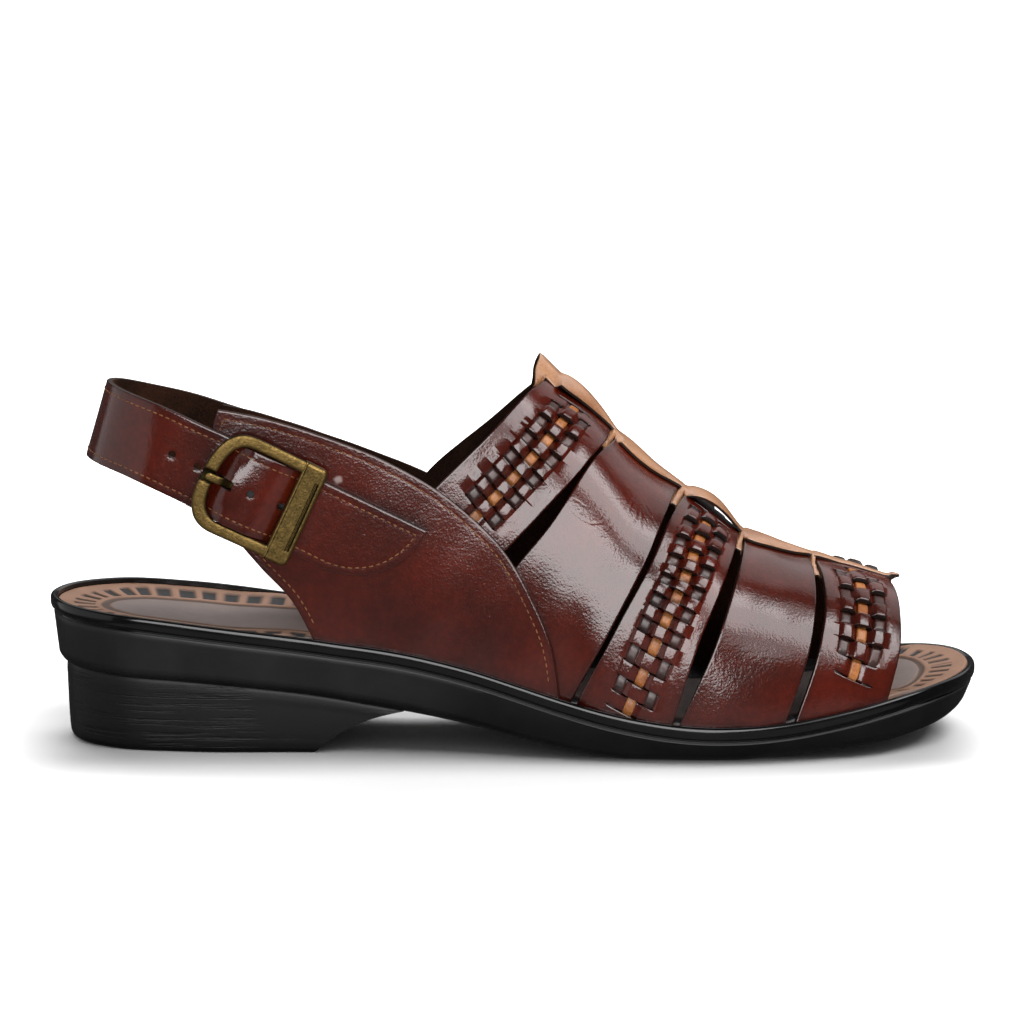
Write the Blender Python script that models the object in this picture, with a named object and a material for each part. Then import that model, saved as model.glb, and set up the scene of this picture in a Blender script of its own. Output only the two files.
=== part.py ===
"""Fisherman sandal with a buckled heel strap: a man's right shoe, as separate solids.

Frame: +X to the toe, +Y to the inner side of the foot, +Z up, the origin on the floor under the
middle of the shoe's box. Sizes are in millimetres, and the meshes are written in metres.
"""
import math

import bmesh
import bpy
import numpy as np

MM = 0.001
GAP = 0.3                # clearance between neighbouring pieces
BITE = 0.3               # depth by which joined layers of the upper run into each other
OUTER, INNER = -1, 1     # sides of the foot: the outer side is at -Y on a right shoe

# Thickness of each leather, and the tray in the sole that takes insole and upper
BAND_LEATHER = 1.8
QUARTER_LEATHER = 2.0
STRAP_LEATHER = 2.2
TAB_LEATHER = 0.9
INSOLE_BOARD = 2.6
LIP_WIDTH = 2.2
TRAY_DEPTH = 2.8

# Rim of the sole seen from above, once round from the heel along the outer side: x, y
OUTLINE = np.array([
    (-145.0, 0.0), (-140.0, -16.0), (-126.0, -27.5), (-103.0, -32.5), (-60.0, -33.5),
    (-12.0, -37.0), (30.0, -44.5), (60.0, -47.0), (93.0, -43.0), (121.0, -32.5),
    (138.5, -15.0), (145.0, 7.0), (140.0, 27.0), (122.0, 41.0), (93.0, 46.3),
    (62.0, 46.3), (30.0, 40.6), (-12.0, 32.0), (-60.0, 32.0), (-103.0, 32.5),
    (-126.0, 27.5), (-140.0, 16.0),
])
TOE_ROW = 11             # row of the outline at the tip of the toe

# Heights of the sole: x, top of the rim, underside
PROFILE = np.array([
    (-145.0, 45.3, 25.0), (-120.0, 43.8, 23.6), (-100.0, 41.8, 22.6), (-80.0, 39.4, 20.8),
    (-56.0, 36.2, 17.8), (-34.0, 33.0, 13.8), (-15.0, 28.7, 9.4), (0.0, 24.3, 5.4),
    (16.0, 19.6, 2.2), (32.0, 15.7, 0.1), (50.0, 13.0, -0.6), (70.0, 12.4, 0.0),
    (86.0, 13.6, 1.6), (102.0, 16.0, 3.5), (118.0, 19.0, 5.3), (132.0, 21.1, 7.7),
    (145.0, 22.0, 11.2),
])
RIM, UNDERSIDE = 1, 2

# Side of the sole, from the tread up to the tray: inset, more inset under the ball, share of
# the wall, rise from there. The share is 0 at the underside and 1 at the top of the rim.
SOLE_WALL = (
    (5.2, 6.8, 0.0, 0.0), (3.6, 4.4, 0.0, 0.7), (2.5, 2.2, 0.0, 2.3), (1.0, 0.0, 1.0, -5.4),
    (1.6, 0.0, 1.0, -4.8), (0.7, 0.0, 1.0, -4.2), (0.0, 0.0, 1.0, -3.0), (0.0, 0.0, 1.0, -1.8),
    (0.5, 0.0, 1.0, -0.6), (1.4, 0.0, 1.0, 0.0), (LIP_WIDTH, 0.0, 1.0, -0.2),
    (LIP_WIDTH, 0.0, 1.0, -TRAY_DEPTH),
)

# Heel block: its breast slopes from the seam under the arch back to the floor
BREAST_FOOT_X = -62.0
BREAST_TOP_X = -34.0
BREAST_HOLLOW = 2.5
# Side of the heel block, from the floor up: inset, share of the height
HEEL_WALL = ((7.4, 0.0), (6.1, 0.05), (5.5, 0.25), (5.2, 0.5), (5.0, 0.75), (4.9, 0.92), (5.3, 1.0))

# The last that the upper is pulled over: x, crest y, crest z, fullness of the side, belly
LAST = np.array([
    (-112.0, 0.0, 240.0, 0.95, 2.5), (-60.0, 1.0, 206.0, 0.95, 2.5), (-30.0, 3.0, 165.0, 0.95, 2.5),
    (-8.0, 5.0, 131.3, 0.93, 2.0), (8.0, 6.0, 114.2, 0.92, 1.5), (24.0, 7.0, 100.1, 0.90, 1.0),
    (42.0, 8.0, 81.6, 0.88, 0.5), (52.0, 8.3, 75.0, 0.87, 0.2), (60.0, 8.5, 69.4, 0.85, 0.0),
    (70.0, 8.8, 61.2, 0.84, 0.0), (80.0, 9.0, 56.9, 0.83, 0.0), (100.0, 9.0, 51.2, 0.82, 0.0),
    (124.0, 9.0, 43.9, 0.82, 0.0),
])
CREST_Y, CREST_Z, FULLNESS, BELLY = 1, 2, 3, 4

# Edges of the five vamp bands, as x down either side: share of the girth, rear, front
BANDS = {
    "band_1": np.array([(0.0, 12.5, 29.0), (0.12, 7.0, 28.0), (0.3, -3.0, 21.0),
                        (0.5, -16.3, 8.0), (0.7, -31.5, -6.5), (1.0, -51.5, -25.5)]),
    "band_2": np.array([(0.0, 31.5, 51.0), (0.12, 29.3, 49.2), (0.3, 22.0, 45.6),
                        (0.5, 12.0, 39.7), (0.7, -1.0, 31.3), (1.0, -18.0, 17.0)]),
    "band_3": np.array([(0.0, 53.2, 69.5), (0.12, 51.6, 69.0), (0.3, 47.4, 67.0),
                        (0.5, 41.3, 63.0), (0.7, 32.6, 56.7), (1.0, 19.0, 48.2)]),
    "band_4": np.array([(0.0, 71.5, 92.0), (0.12, 71.3, 92.7), (0.3, 69.8, 93.2),
                        (0.5, 66.6, 92.7), (0.7, 61.6, 90.3), (1.0, 50.0, 82.4)]),
    "band_5": np.array([(0.0, 94.0, 117.0), (0.12, 94.8, 118.3), (0.3, 95.9, 119.2),
                        (0.5, 95.7, 119.2), (0.7, 93.3, 118.6), (1.0, 85.6, 114.0)]),
}
REAR, FRONT = 1, 2

# Centre strip: half width of its hidden under layer and of the middle that rides over the bands
STRIP_REAR_X = 5.2
STRIP_FRONT_X = 120.5
STRIP_HALF = 15.0
STRIP_MIDDLE = 8.5
STRIP_FLARE = 1.6        # lift of its rear end off the last
STRIP_TAB_LIFT = 1.2     # lift of its front end
STRIP_ARCH = {"band_1": 2.0, "band_2": 1.2, "band_3": 2.2, "band_4": 1.0, "band_5": 1.0}

# Quarters: top edge from the rear corner to the sole, and rear edge from corner to sole: x, z
QUARTER_TOP = {
    OUTER: np.array([(-90.5, 108.5), (-82.0, 107.0), (-64.0, 102.0), (-38.5, 92.0), (-23.0, 83.0),
                     (-13.0, 75.0), (-3.0, 65.0), (6.5, 49.0), (11.5, 37.4), (14.5, 20.0)]),
    INNER: np.array([(-92.0, 99.3), (-84.0, 97.6), (-64.0, 91.5), (-42.5, 83.9), (-28.0, 78.0),
                     (-13.0, 69.8), (-3.0, 60.8), (6.5, 47.2), (11.5, 36.1), (14.5, 20.0)]),
}
QUARTER_REAR = {
    OUTER: np.array([(-90.5, 108.5), (-92.5, 102.0), (-91.0, 87.0), (-85.5, 69.0), (-78.5, 60.0),
                     (-68.5, 49.0), (-61.0, 35.4)]),
    INNER: np.array([(-92.0, 99.3), (-92.5, 95.3), (-91.0, 85.0), (-85.5, 69.0), (-78.5, 60.0),
                     (-68.5, 49.0), (-61.0, 35.4)]),
}

# Heel strap, centre line of its inner face: x, z along the inner quarter from its end, and then
# round the heel to the outer quarter: x, y, z, lean in x and y
STRAP_ON_QUARTER = np.array([(-55.5, 74.8), (-72.0, 80.7), (-90.0, 85.9)])
STRAP_ROUND_HEEL = np.array([
    (-103.0, 30.2, 90.4, 0.05, -0.1), (-116.5, 22.0, 95.1, 0.14, -0.08),
    (-125.3, 10.5, 98.9, 0.26, -0.02), (-127.5, -3.0, 100.8, 0.29, 0.0),
    (-124.0, -16.0, 101.0, 0.24, 0.04), (-113.5, -26.0, 98.4, 0.12, 0.08),
])
STRAP_WIDTH = 24.6
STRAP_SLOPE = math.radians(-25.7)    # run of the outer side of the strap, straight to its tip
STRAP_TIP_U = 50.0                   # tip, measured from the buckle's middle along the strap
STRAP_HOLES_U = (-30.0, -21.6, -4.2, 6.0)
PRONG_SLOT_U = (-15.4, -9.9)
HOLE_RADIUS = 1.2
# Rise of the strap's inner face off the quarter, along the strap from the buckle's middle: u, rise
# of its middle, rise of its edges, which stay low as far as the bowed bar reaches over them
STRAP_RISE = np.array([
    (-26.0, 0.0, 0.0), (-19.0, 0.2, 0.2), (-15.6, 1.0, 0.6), (-11.4, 4.7, 1.1), (-8.6, 5.1, 3.4),
    (-5.0, 4.9, 4.7), (-3.0, 4.8, 4.8), (0.5, 4.3, 4.3), (3.6, 3.0, 3.0), (7.6, 1.1, 1.1),
    (12.0, 0.1, 0.1), (20.0, 0.0, 0.0), (52.0, 0.0, 0.0),
])

# Buckle, in its own plane: u along the strap to the tip, w up across it, from its middle
BUCKLE_X, BUCKLE_Z = -76.8, 81.9
FRAME_REACH = (-19.8, 15.0)
FRAME_HALF = 16.2
FRAME_CORNER = 2.5
FRAME_BOW = 11.2         # length of the bowed rear end
WINDOW_REACH = (-15.9, 7.5)
WINDOW_HALF = 12.6
WINDOW_CORNER = 1.2
WINDOW_BOW = 7.2
FRAME_BASE = 4.05        # underside of the frame over the quarter
FRAME_DEPTH = 2.5
# Section of the frame's bars: share from outer to inner edge, share of the depth
FRAME_SECTION = ((0.0, 0.3), (0.0, 0.7), (0.2, 1.0), (0.8, 1.0), (1.0, 0.7), (1.0, 0.3), (0.8, 0.0),
                 (0.2, 0.0), (0.0, 0.3))
NOTCH_DEPTH = 1.1
BAR_U = -3.0
BAR_RADIUS = 0.9
PRONG_WIDTH = 2.4
PRONG_W = -0.4
PRONG_DEPTH = 0.9
PRONG_TIP_U = -18.5
TAB_WIDTH = 17.0
TAB_REACH = 6.0          # length of the sewn tab in front of the bar

QUARTER_FACE = BAND_LEATHER - BITE + QUARTER_LEATHER    # outer face of a quarter over the last

LEATHER = ("burnished leather", (0.115, 0.022, 0.012, 1.0), 0.28, 0.0)
SOLE_RUBBER = ("black moulded sole", (0.011, 0.011, 0.012, 1.0), 0.42, 0.0)
FOOTBED = ("footbed leather", (0.19, 0.115, 0.08, 1.0), 0.6, 0.0)
BRASS = ("antique brass", (0.25, 0.18, 0.07, 1.0), 0.38, 1.0)


# ---------------------------------------------------------------- reading the tables

def through(rows, column, at):
    """Read a column of a table at the places 'at', on a cubic through its rows."""
    place = rows[:, 0]
    value = rows[:, column]
    slope = np.gradient(value, place)
    at = np.clip(np.asarray(at, float), place[0], place[-1])
    row = np.clip(np.searchsorted(place, at) - 1, 0, len(place) - 2)
    step = place[row + 1] - place[row]
    t = (at - place[row]) / step
    start = (2 * t**3 - 3 * t**2 + 1) * value[row] + (t**3 - 2 * t**2 + t) * step * slope[row]
    end = (3 * t**2 - 2 * t**3) * value[row + 1] + (t**3 - t**2) * step * slope[row + 1]
    return start + end


def along_curve(rows, share):
    """Return points at shares 0 to 1 of the length of a smooth curve through the rows."""
    length = np.concatenate([[0.0], np.cumsum(np.linalg.norm(np.diff(rows[:, :2], axis=0),
                                                             axis=1))])
    table = np.column_stack([length, rows])
    at = np.asarray(share, float) * length[-1]
    return np.stack([through(table, column + 1, at) for column in range(rows.shape[1])], axis=-1)


def ease(at, start, end):
    """Rise smoothly from 0 at 'start' to 1 at 'end'."""
    t = np.clip((np.asarray(at, float) - start) / (end - start), 0.0, 1.0)
    return t * t * (3.0 - 2.0 * t)


# ---------------------------------------------------------------- solids from patches

def closed_solid(name, mesh, collection):
    """Turn the faces of a closed mesh outwards and add it as an object."""
    bmesh.ops.recalc_face_normals(mesh, faces=mesh.faces)
    if mesh.calc_volume(signed=True) < 0.0:
        bmesh.ops.reverse_faces(mesh, faces=mesh.faces)
    data = bpy.data.meshes.new(name)
    mesh.to_mesh(data)
    mesh.free()
    solid = bpy.data.objects.new(name, data)
    collection.objects.link(solid)
    return solid


def weld(name, patches, material, collection):
    """Make one closed solid of grids of points in millimetres that meet edge to edge."""
    mesh = bmesh.new()
    for patch in patches:
        rows, columns = patch.shape[:2]
        verts = [[mesh.verts.new(patch[i, j] * MM) for j in range(columns)] for i in range(rows)]
        for i in range(rows - 1):
            for j in range(columns - 1):
                mesh.faces.new((verts[i][j], verts[i + 1][j], verts[i + 1][j + 1], verts[i][j + 1]))
    bmesh.ops.remove_doubles(mesh, verts=mesh.verts, dist=0.002 * MM)
    bmesh.ops.dissolve_degenerate(mesh, edges=mesh.edges, dist=0.002 * MM)
    solid = closed_solid(name, mesh, collection)
    solid.data.materials.append(material)
    solid.data.shade_smooth()
    solid.data.set_sharp_from_angle(angle=math.radians(35.0))
    return solid


def wall_between(inner, outer):
    """Return the patches of a wall: its two faces and the strips along its four edges."""
    edges = [np.stack([inner[0], outer[0]]), np.stack([inner[-1], outer[-1]]),
             np.stack([inner[:, 0], outer[:, 0]]), np.stack([inner[:, -1], outer[:, -1]])]
    return [inner, outer] + edges


def boolean(solid, other, operation):
    """Join or cut a solid with another object, which becomes a hidden helper."""
    modifier = solid.modifiers.new(f"{operation.lower()} {other.name}", "BOOLEAN")
    modifier.operation = operation
    modifier.solver = "EXACT"
    modifier.object = other
    other.hide_render = True
    other.display_type = "WIRE"


def cylinder(name, radius, length, place, turn, collection, sides=12):
    """Add a cylinder helper in millimetres, with the columns of 'turn' as its axes."""
    mesh = bmesh.new()
    bmesh.ops.create_cone(mesh, cap_ends=True, segments=sides, radius1=radius * MM,
                          radius2=radius * MM, depth=length * MM)
    for vert in mesh.verts:
        vert.co = turn @ np.array(vert.co) + np.array(place) * MM
    return closed_solid(name, mesh, collection)


def block(name, size, place, turn, collection):
    """Add a box helper in millimetres, with the columns of 'turn' as its axes."""
    mesh = bmesh.new()
    bmesh.ops.create_cube(mesh, size=1.0)
    for vert in mesh.verts:
        vert.co = turn @ (np.array(vert.co) * size) * MM + np.array(place) * MM
    return closed_solid(name, mesh, collection)


# ---------------------------------------------------------------- outline of the sole

def rim_halves(samples=400):
    """Return the rim's outer and inner half from heel to toe, as points and outward normals."""
    wrap = 3
    ring = np.vstack([OUTLINE[-wrap:], OUTLINE, OUTLINE[:wrap + 1]])
    length = np.concatenate([[0.0], np.cumsum(np.linalg.norm(np.diff(ring, axis=0), axis=1))])
    table = np.column_stack([length, ring])
    heel, toe, heel_again = length[wrap], length[wrap + TOE_ROW], length[wrap + len(OUTLINE)]
    halves = {}
    for side, start in ((OUTER, heel), (INNER, heel_again)):
        at = np.linspace(start, toe, samples)
        points = np.column_stack([through(table, 1, at), through(table, 2, at)])
        run = np.gradient(points, axis=0)
        run[0] = (0.0, side)
        run[-1] = (0.0, -side)
        run /= np.linalg.norm(run, axis=1)[:, None]
        halves[side] = (points, side * np.column_stack([-run[:, 1], run[:, 0]]))
    return halves


RIM_HALVES = rim_halves()
# Places along each half of the rim, closer together at the heel and the toe
RIM_SHARES = (1.0 - np.cos(np.linspace(0.0, math.pi, 35))) / 2.0


def rim_line(side, inset, share):
    """Return points of one half of the rim at shares of its length, moved inwards by 'inset'."""
    points, normal = RIM_HALVES[side]
    if callable(inset):
        inset = inset(points[:, 0])[:, None]
    line = points - inset * normal
    at = np.linspace(0.0, 1.0, len(line))
    return np.column_stack([np.interp(share, at, line[:, 0]), np.interp(share, at, line[:, 1])])


def rim_y(x, side, inset):
    """Return y of one half of the rim at x, moved inwards by 'inset'."""
    line = rim_line(side, inset, np.linspace(0.0, 1.0, 400))
    return np.interp(x, line[:, 0], line[:, 1])


def rim_ring(inset, height):
    """Return a closed ring: the outer half from heel to toe, then the inner half back."""
    outer, inner = (rim_line(side, inset, RIM_SHARES) for side in (OUTER, INNER))
    line = np.vstack([outer, inner[::-1]])
    return np.column_stack([line, height(line[:, 0])])


def deck(inset, height, across=6, crown=0.0):
    """Return a grid from the outer to the inner half of the rim, at a height given by x."""
    outer, inner = (rim_line(side, inset, RIM_SHARES) for side in (OUTER, INNER))
    t = np.linspace(0.0, 1.0, across + 1)[:, None, None]
    flat = outer * (1.0 - t) + inner * t
    rise = crown * 4.0 * t[..., 0] * (1.0 - t[..., 0])
    return np.concatenate([flat, (height(flat[..., 0]) + rise)[..., None]], axis=-1)


def rim_top(x):
    return through(PROFILE, RIM, x)


def underside(x):
    """Height of the tread, which is flat on the floor where the ball of the foot stands."""
    return np.maximum(through(PROFILE, UNDERSIDE, x), 0.0)


# ---------------------------------------------------------------- the last

def stack_inset(x):
    """Inset of the last's lower edge from the rim: lip, clearance and the leather inside it."""
    stack = QUARTER_FACE + (BAND_LEATHER - QUARTER_FACE) * ease(x, 15.5, 27.0)
    return LIP_WIDTH + GAP + stack


def girth(x, side, samples=65):
    """Return one side of the last's sections at every x, from crest to sole: length, y, z."""
    angle = np.linspace(0.0, math.pi / 2.0, samples)
    crest_y, crest_z, fullness, belly = (through(LAST, column, x)[:, None] for column in
                                         (CREST_Y, CREST_Z, FULLNESS, BELLY))
    foot_y = rim_y(x, side, stack_inset)[:, None]
    foot_z = (rim_top(x) - TRAY_DEPTH + 2.0 * GAP)[:, None]
    y = crest_y + (foot_y - crest_y) * np.sin(angle)**fullness
    y += side * belly * np.sin(2.0 * angle)**2
    z = foot_z + (crest_z - foot_z) * np.cos(angle)**fullness
    steps = np.hypot(np.diff(y, axis=1), np.diff(z, axis=1))
    length = np.concatenate([np.zeros((len(x), 1)), np.cumsum(steps, axis=1)], axis=1)
    return length, y, z


def chart_last(places=235, shares=129):
    """Chart the last: points and outward normals by x and by share of the girth, -1 to 1."""
    x = np.linspace(LAST[0, 0], LAST[-1, 0], places)
    share = np.linspace(-1.0, 1.0, shares)
    points = np.empty((places, shares, 3))
    points[..., 0] = x[:, None]
    reach = {}
    for side in (OUTER, INNER):
        length, y, z = girth(x, side)
        reach[side] = length[:, -1]
        half = share * side >= 0.0
        for row in range(places):
            at = abs(share[half]) * length[row, -1]
            points[row, half, 1] = np.interp(at, length[row], y[row])
            points[row, half, 2] = np.interp(at, length[row], z[row])
    normal = np.cross(np.gradient(points, axis=0), np.gradient(points, axis=1))
    normal /= np.linalg.norm(normal, axis=-1)[..., None]
    return x, share, points, normal, reach


CHART_X, CHART_SHARE, CHART_POINTS, CHART_NORMALS, REACH = chart_last()


def on_last(x, share, lift=0.0):
    """Return points 'lift' off the last at x and a share of its girth: -1 outer edge, 0 crest."""
    x, share, lift = np.broadcast_arrays(x, share, lift)
    i = (x - CHART_X[0]) / (CHART_X[1] - CHART_X[0])
    j = (share - CHART_SHARE[0]) / (CHART_SHARE[1] - CHART_SHARE[0])
    row = np.clip(i.astype(int), 0, len(CHART_X) - 2)
    column = np.clip(j.astype(int), 0, len(CHART_SHARE) - 2)
    s, t = (i - row)[..., None], (j - column)[..., None]
    found = []
    for chart in (CHART_POINTS, CHART_NORMALS):
        near = chart[row, column] * (1.0 - t) + chart[row, column + 1] * t
        far = chart[row + 1, column] * (1.0 - t) + chart[row + 1, column + 1] * t
        found.append(near * (1.0 - s) + far * s)
    return found[0] + found[1] * lift[..., None]


def share_at(x, z, side):
    """Return the share of the girth where one side of the last reaches height z at x."""
    x, z = np.broadcast_arrays(np.asarray(x, float), np.asarray(z, float))
    shares = side * np.linspace(0.0, 1.0, 65)
    found = np.empty(x.shape)
    for place in np.ndindex(x.shape):
        height = on_last(x[place], shares)[:, 2]
        found[place] = np.interp(-z[place], -height, shares)
    return found


def share_of_width(x, width):
    """Return the share of the girth at a distance over the last from its crest."""
    x, width = np.broadcast_arrays(np.asarray(x, float), np.asarray(width, float))
    outer = np.interp(x, CHART_X, REACH[OUTER])
    inner = np.interp(x, CHART_X, REACH[INNER])
    return width / np.where(width < 0.0, outer, inner)


def leather(name, x, share, base, thickness, material, collection):
    """Make a sheet of leather on the last, its inner face lifted off by 'base'."""
    faces = (on_last(x, share, base), on_last(x, share, base + thickness))
    return weld(name, wall_between(*faces), material, collection)


# ---------------------------------------------------------------- pieces

def under_foot(x):
    """Return 1 under the ball of the foot and 0 at the heel and at the toe."""
    return ease(x, -50.0, 0.0) * (1.0 - ease(x, 75.0, 120.0))


def make_outsole(material, parts):
    """The moulded unit: a beaded rim over a groove, a drafted wall, and a tray for the insole."""
    levels = []
    for back, front, part, rise in SOLE_WALL:
        def inset(x, back=back, front=front):
            return back + front * under_foot(x)

        def height(x, part=part, rise=rise):
            return underside(x) * (1.0 - part) + rim_top(x) * part + rise
        levels.append(rim_ring(inset, height))
    back, front = SOLE_WALL[0][:2]
    tread = deck(lambda x: back + front * under_foot(x), underside, across=2)
    tray = deck(LIP_WIDTH, lambda x: rim_top(x) - TRAY_DEPTH, across=2)
    return weld("outsole", [np.stack(levels), tread, tray], material, parts)


def make_heel(material, parts):
    """The heel block: stepped in under the outsole, with a hollow sloping breast."""
    def top(x):
        return underside(x) - GAP
    levels = []
    for inset, part in HEEL_WALL:
        front = BREAST_FOOT_X + (BREAST_TOP_X - BREAST_FOOT_X) * part
        front -= BREAST_HOLLOW * math.sin(math.pi * part)
        ring = []
        for side in (OUTER, INNER):
            dense = np.linspace(0.0, 1.0, 400)
            reach = np.interp(front, rim_line(side, inset, dense)[:, 0], dense)
            share = reach * (1.0 - np.cos(np.linspace(0.0, math.pi / 2.0, 17)))
            line = rim_line(side, inset, share)
            ring.append(line if side == INNER else line[::-1])
        line = np.vstack([ring[0], ring[1]])
        levels.append(np.column_stack([line, part * top(line[:, 0])]))
    levels = np.stack(levels)
    half = levels.shape[1] // 2
    breast = levels[:, [0, -1]]
    floor = np.stack([levels[0, :half][::-1], levels[0, half:]])
    seat = np.stack([levels[-1, :half][::-1], levels[-1, half:]])
    return weld("heel", [levels, breast, floor, seat], material, parts)


def insole_inset(x):
    """Inset of the insole: inside the upper where that stands in the tray, else up to the lip."""
    inside_upper = ease(x, -76.0, -66.0) * (1.0 - ease(x, 122.0, 130.0))
    return LIP_WIDTH + GAP + inside_upper * (stack_inset(x) + GAP - LIP_WIDTH)


def make_insole(material, parts):
    """The covered board that lies in the tray, a little cupped, with rounded edges."""
    def level(drop):
        return lambda x: rim_top(x) + 0.5 - drop

    def inset(more):
        return lambda x: insole_inset(x) + more
    base = INSOLE_BOARD + 0.4
    levels = [rim_ring(inset(more), level(drop)) for more, drop in
              ((0.3, base), (0.0, base - 0.5), (0.0, 0.9), (0.4, 0.25), (1.2, 0.0))]
    under = deck(inset(0.3), level(base), across=2)
    top = deck(inset(1.2), level(0.0), crown=-0.9)
    return weld("insole", [np.stack(levels), under, top], material, parts)


def band_grid(edges, across=4, down=14):
    """Return x and share of a band's grid, from the outer to the inner edge of the sole."""
    share = np.linspace(-1.0, 1.0, 2 * down + 1)
    t = np.linspace(0.0, 1.0, across + 1)[:, None]
    x = through(edges, REAR, abs(share)) * (1.0 - t) + through(edges, FRONT, abs(share)) * t
    return x, np.broadcast_to(share, x.shape)


def strip_grid(start, end, half, along, across):
    """Return x and share of a strip along the crest, its width measured over the last."""
    x = np.linspace(start, end, along + 1)[:, None]
    width = np.linspace(-half, half, across + 1)
    return np.broadcast_to(x, (along + 1, across + 1)), share_of_width(x, width)


def strip_rise(x):
    """Rise of the strip's middle, which arches over each band and dips into the gaps."""
    over = np.zeros_like(x)
    ramp = 2.0
    for name, edges in BANDS.items():
        rear, front = edges[0, REAR], edges[0, FRONT]
        up = ease(x, rear - ramp, rear - GAP)
        down = ease(x, front + GAP, front + ramp)
        over = np.maximum(over, (BAND_LEATHER - BITE) * up * (1.0 - down))
        over += STRIP_ARCH[name] * np.sin(math.pi * np.clip((x - rear) / (front - rear), 0.0, 1.0))
    over += STRIP_FLARE * (1.0 - ease(x, STRIP_REAR_X, STRIP_REAR_X + 14.0))
    return over + STRIP_TAB_LIFT * ease(x, STRIP_FRONT_X - 5.0, STRIP_FRONT_X)


def quarter_grid(side, along=14, up=8):
    """Return x and share of a quarter: a patch on the last between its top, rear and foot."""
    t = np.linspace(0.0, 1.0, along + 1)
    h = np.linspace(0.0, 1.0, up + 1)
    top = along_curve(QUARTER_TOP[side], t)
    rear = along_curve(QUARTER_REAR[side], h)[::-1]
    foot_x = rear[0, 0] + (top[-1, 0] - 1.0 - rear[0, 0]) * t
    foot = np.column_stack([foot_x, rim_top(foot_x) - TRAY_DEPTH + 2.0 * GAP])
    front = foot[-1] + (top[-1] - foot[-1]) * h[:, None]
    s, r = t[None, :, None], h[:, None, None]
    flat = ((1.0 - r) * foot[None] + r * top[None] + (1.0 - s) * rear[:, None] + s * front[:, None]
            - (1.0 - s) * (1.0 - r) * foot[0] - s * (1.0 - r) * foot[-1]
            - (1.0 - s) * r * rear[-1] - s * r * top[-1])
    return flat[..., 0], share_at(flat[..., 0], flat[..., 1], side)


def make_upper(material, parts, helpers):
    """The upper: five bands over the last, two quarters over their ends, and the centre strip."""
    pieces = []
    for name, edges in BANDS.items():
        grid = band_grid(edges)
        pieces.append(leather(name, *grid, 0.0, BAND_LEATHER, material, helpers))
    grid = strip_grid(STRIP_REAR_X + 0.5, STRIP_FRONT_X - 1.5, STRIP_HALF, 30, 6)
    pieces.append(leather("strip_under", *grid, 1.5 * BITE - BAND_LEATHER, BAND_LEATHER, material,
                          helpers))
    grid = strip_grid(STRIP_REAR_X, STRIP_FRONT_X, STRIP_MIDDLE, 76, 2)
    pieces.append(leather("strip_middle", *grid, strip_rise(grid[0]), BAND_LEATHER, material,
                          helpers))
    for side, name in ((OUTER, "quarter_outer"), (INNER, "quarter_inner")):
        grid = quarter_grid(side)
        pieces.append(leather(name, *grid, BAND_LEATHER - BITE, QUARTER_LEATHER, material, helpers))
    upper = bpy.data.objects.new("upper", pieces[0].data)
    parts.objects.link(upper)
    helpers.objects.unlink(pieces[0])
    for piece in pieces[1:]:
        boolean(upper, piece, "UNION")
    return upper


def at_buckle(u, w, n):
    """Return points from the buckle's u, w and height n over the quarter's outer face."""
    u, w, n = np.broadcast_arrays(u, w, n)
    x = BUCKLE_X + u * math.cos(STRAP_SLOPE) - w * math.sin(STRAP_SLOPE)
    z = BUCKLE_Z + u * math.sin(STRAP_SLOPE) + w * math.cos(STRAP_SLOPE)
    return on_last(x, share_at(x, z, OUTER), QUARTER_FACE + n)


def buckle_axes(u, w):
    """Return the directions u, w and outward n at a place on the buckle, as columns."""
    step = 2.0
    along = at_buckle(u + step, w, 0.0) - at_buckle(u - step, w, 0.0)
    across = at_buckle(u, w + step, 0.0) - at_buckle(u, w - step, 0.0)
    n = np.cross(along, across)
    n /= np.linalg.norm(n)
    along /= np.linalg.norm(along)
    return np.column_stack([along, np.cross(n, along), n])


def strap_loop(stations=29):
    """Return the strap's inner face round the heel: centres, directions up it and outwards."""
    rows = []
    for x, z in STRAP_ON_QUARTER:
        foot, middle, head = (on_last(x, share_at(x, z + rise, INNER), QUARTER_FACE + 2.0 * GAP)
                              for rise in (-6.0, 0.0, 6.0))
        rows.append(strap_row(middle, head - foot))
    rows += [np.array(row) for row in STRAP_ROUND_HEEL]
    for u in (-26.0, -20.0):
        foot, head = at_buckle(u, -6.0, GAP), at_buckle(u, 6.0, GAP)
        rows.append(strap_row(at_buckle(u, 0.0, GAP + strap_rise(u, 0.0)), head - foot))
    rows = np.stack(rows)
    length = np.concatenate([[0.0], np.cumsum(np.linalg.norm(np.diff(rows[:, :3], axis=0), axis=1))])
    table = np.column_stack([length, rows])
    at = np.linspace(0.0, length[-1], stations)
    columns = [through(table, column, at) for column in range(1, 6)]
    centre = np.stack(columns[:3], axis=-1)
    guide = np.stack([columns[3], columns[4], np.ones(stations)], axis=-1)
    run = np.gradient(centre, axis=0)
    run /= np.linalg.norm(run, axis=1)[:, None]
    up = guide - run * np.sum(guide * run, axis=1)[:, None]
    up /= np.linalg.norm(up, axis=1)[:, None]
    return centre, up, np.cross(run, up)


def strap_rise(u, w):
    """Rise of the strap's inner face off the quarter, higher in its middle than at its edges."""
    middle = np.cos(math.pi * w / STRAP_WIDTH)**2
    return through(STRAP_RISE, 1, u) * middle + through(STRAP_RISE, 2, u) * (1.0 - middle)


def strap_row(middle, up):
    """Return a row of the strap's table: its middle, and its lean from the way up it."""
    return np.concatenate([middle, up[:2] / up[2]])


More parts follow.
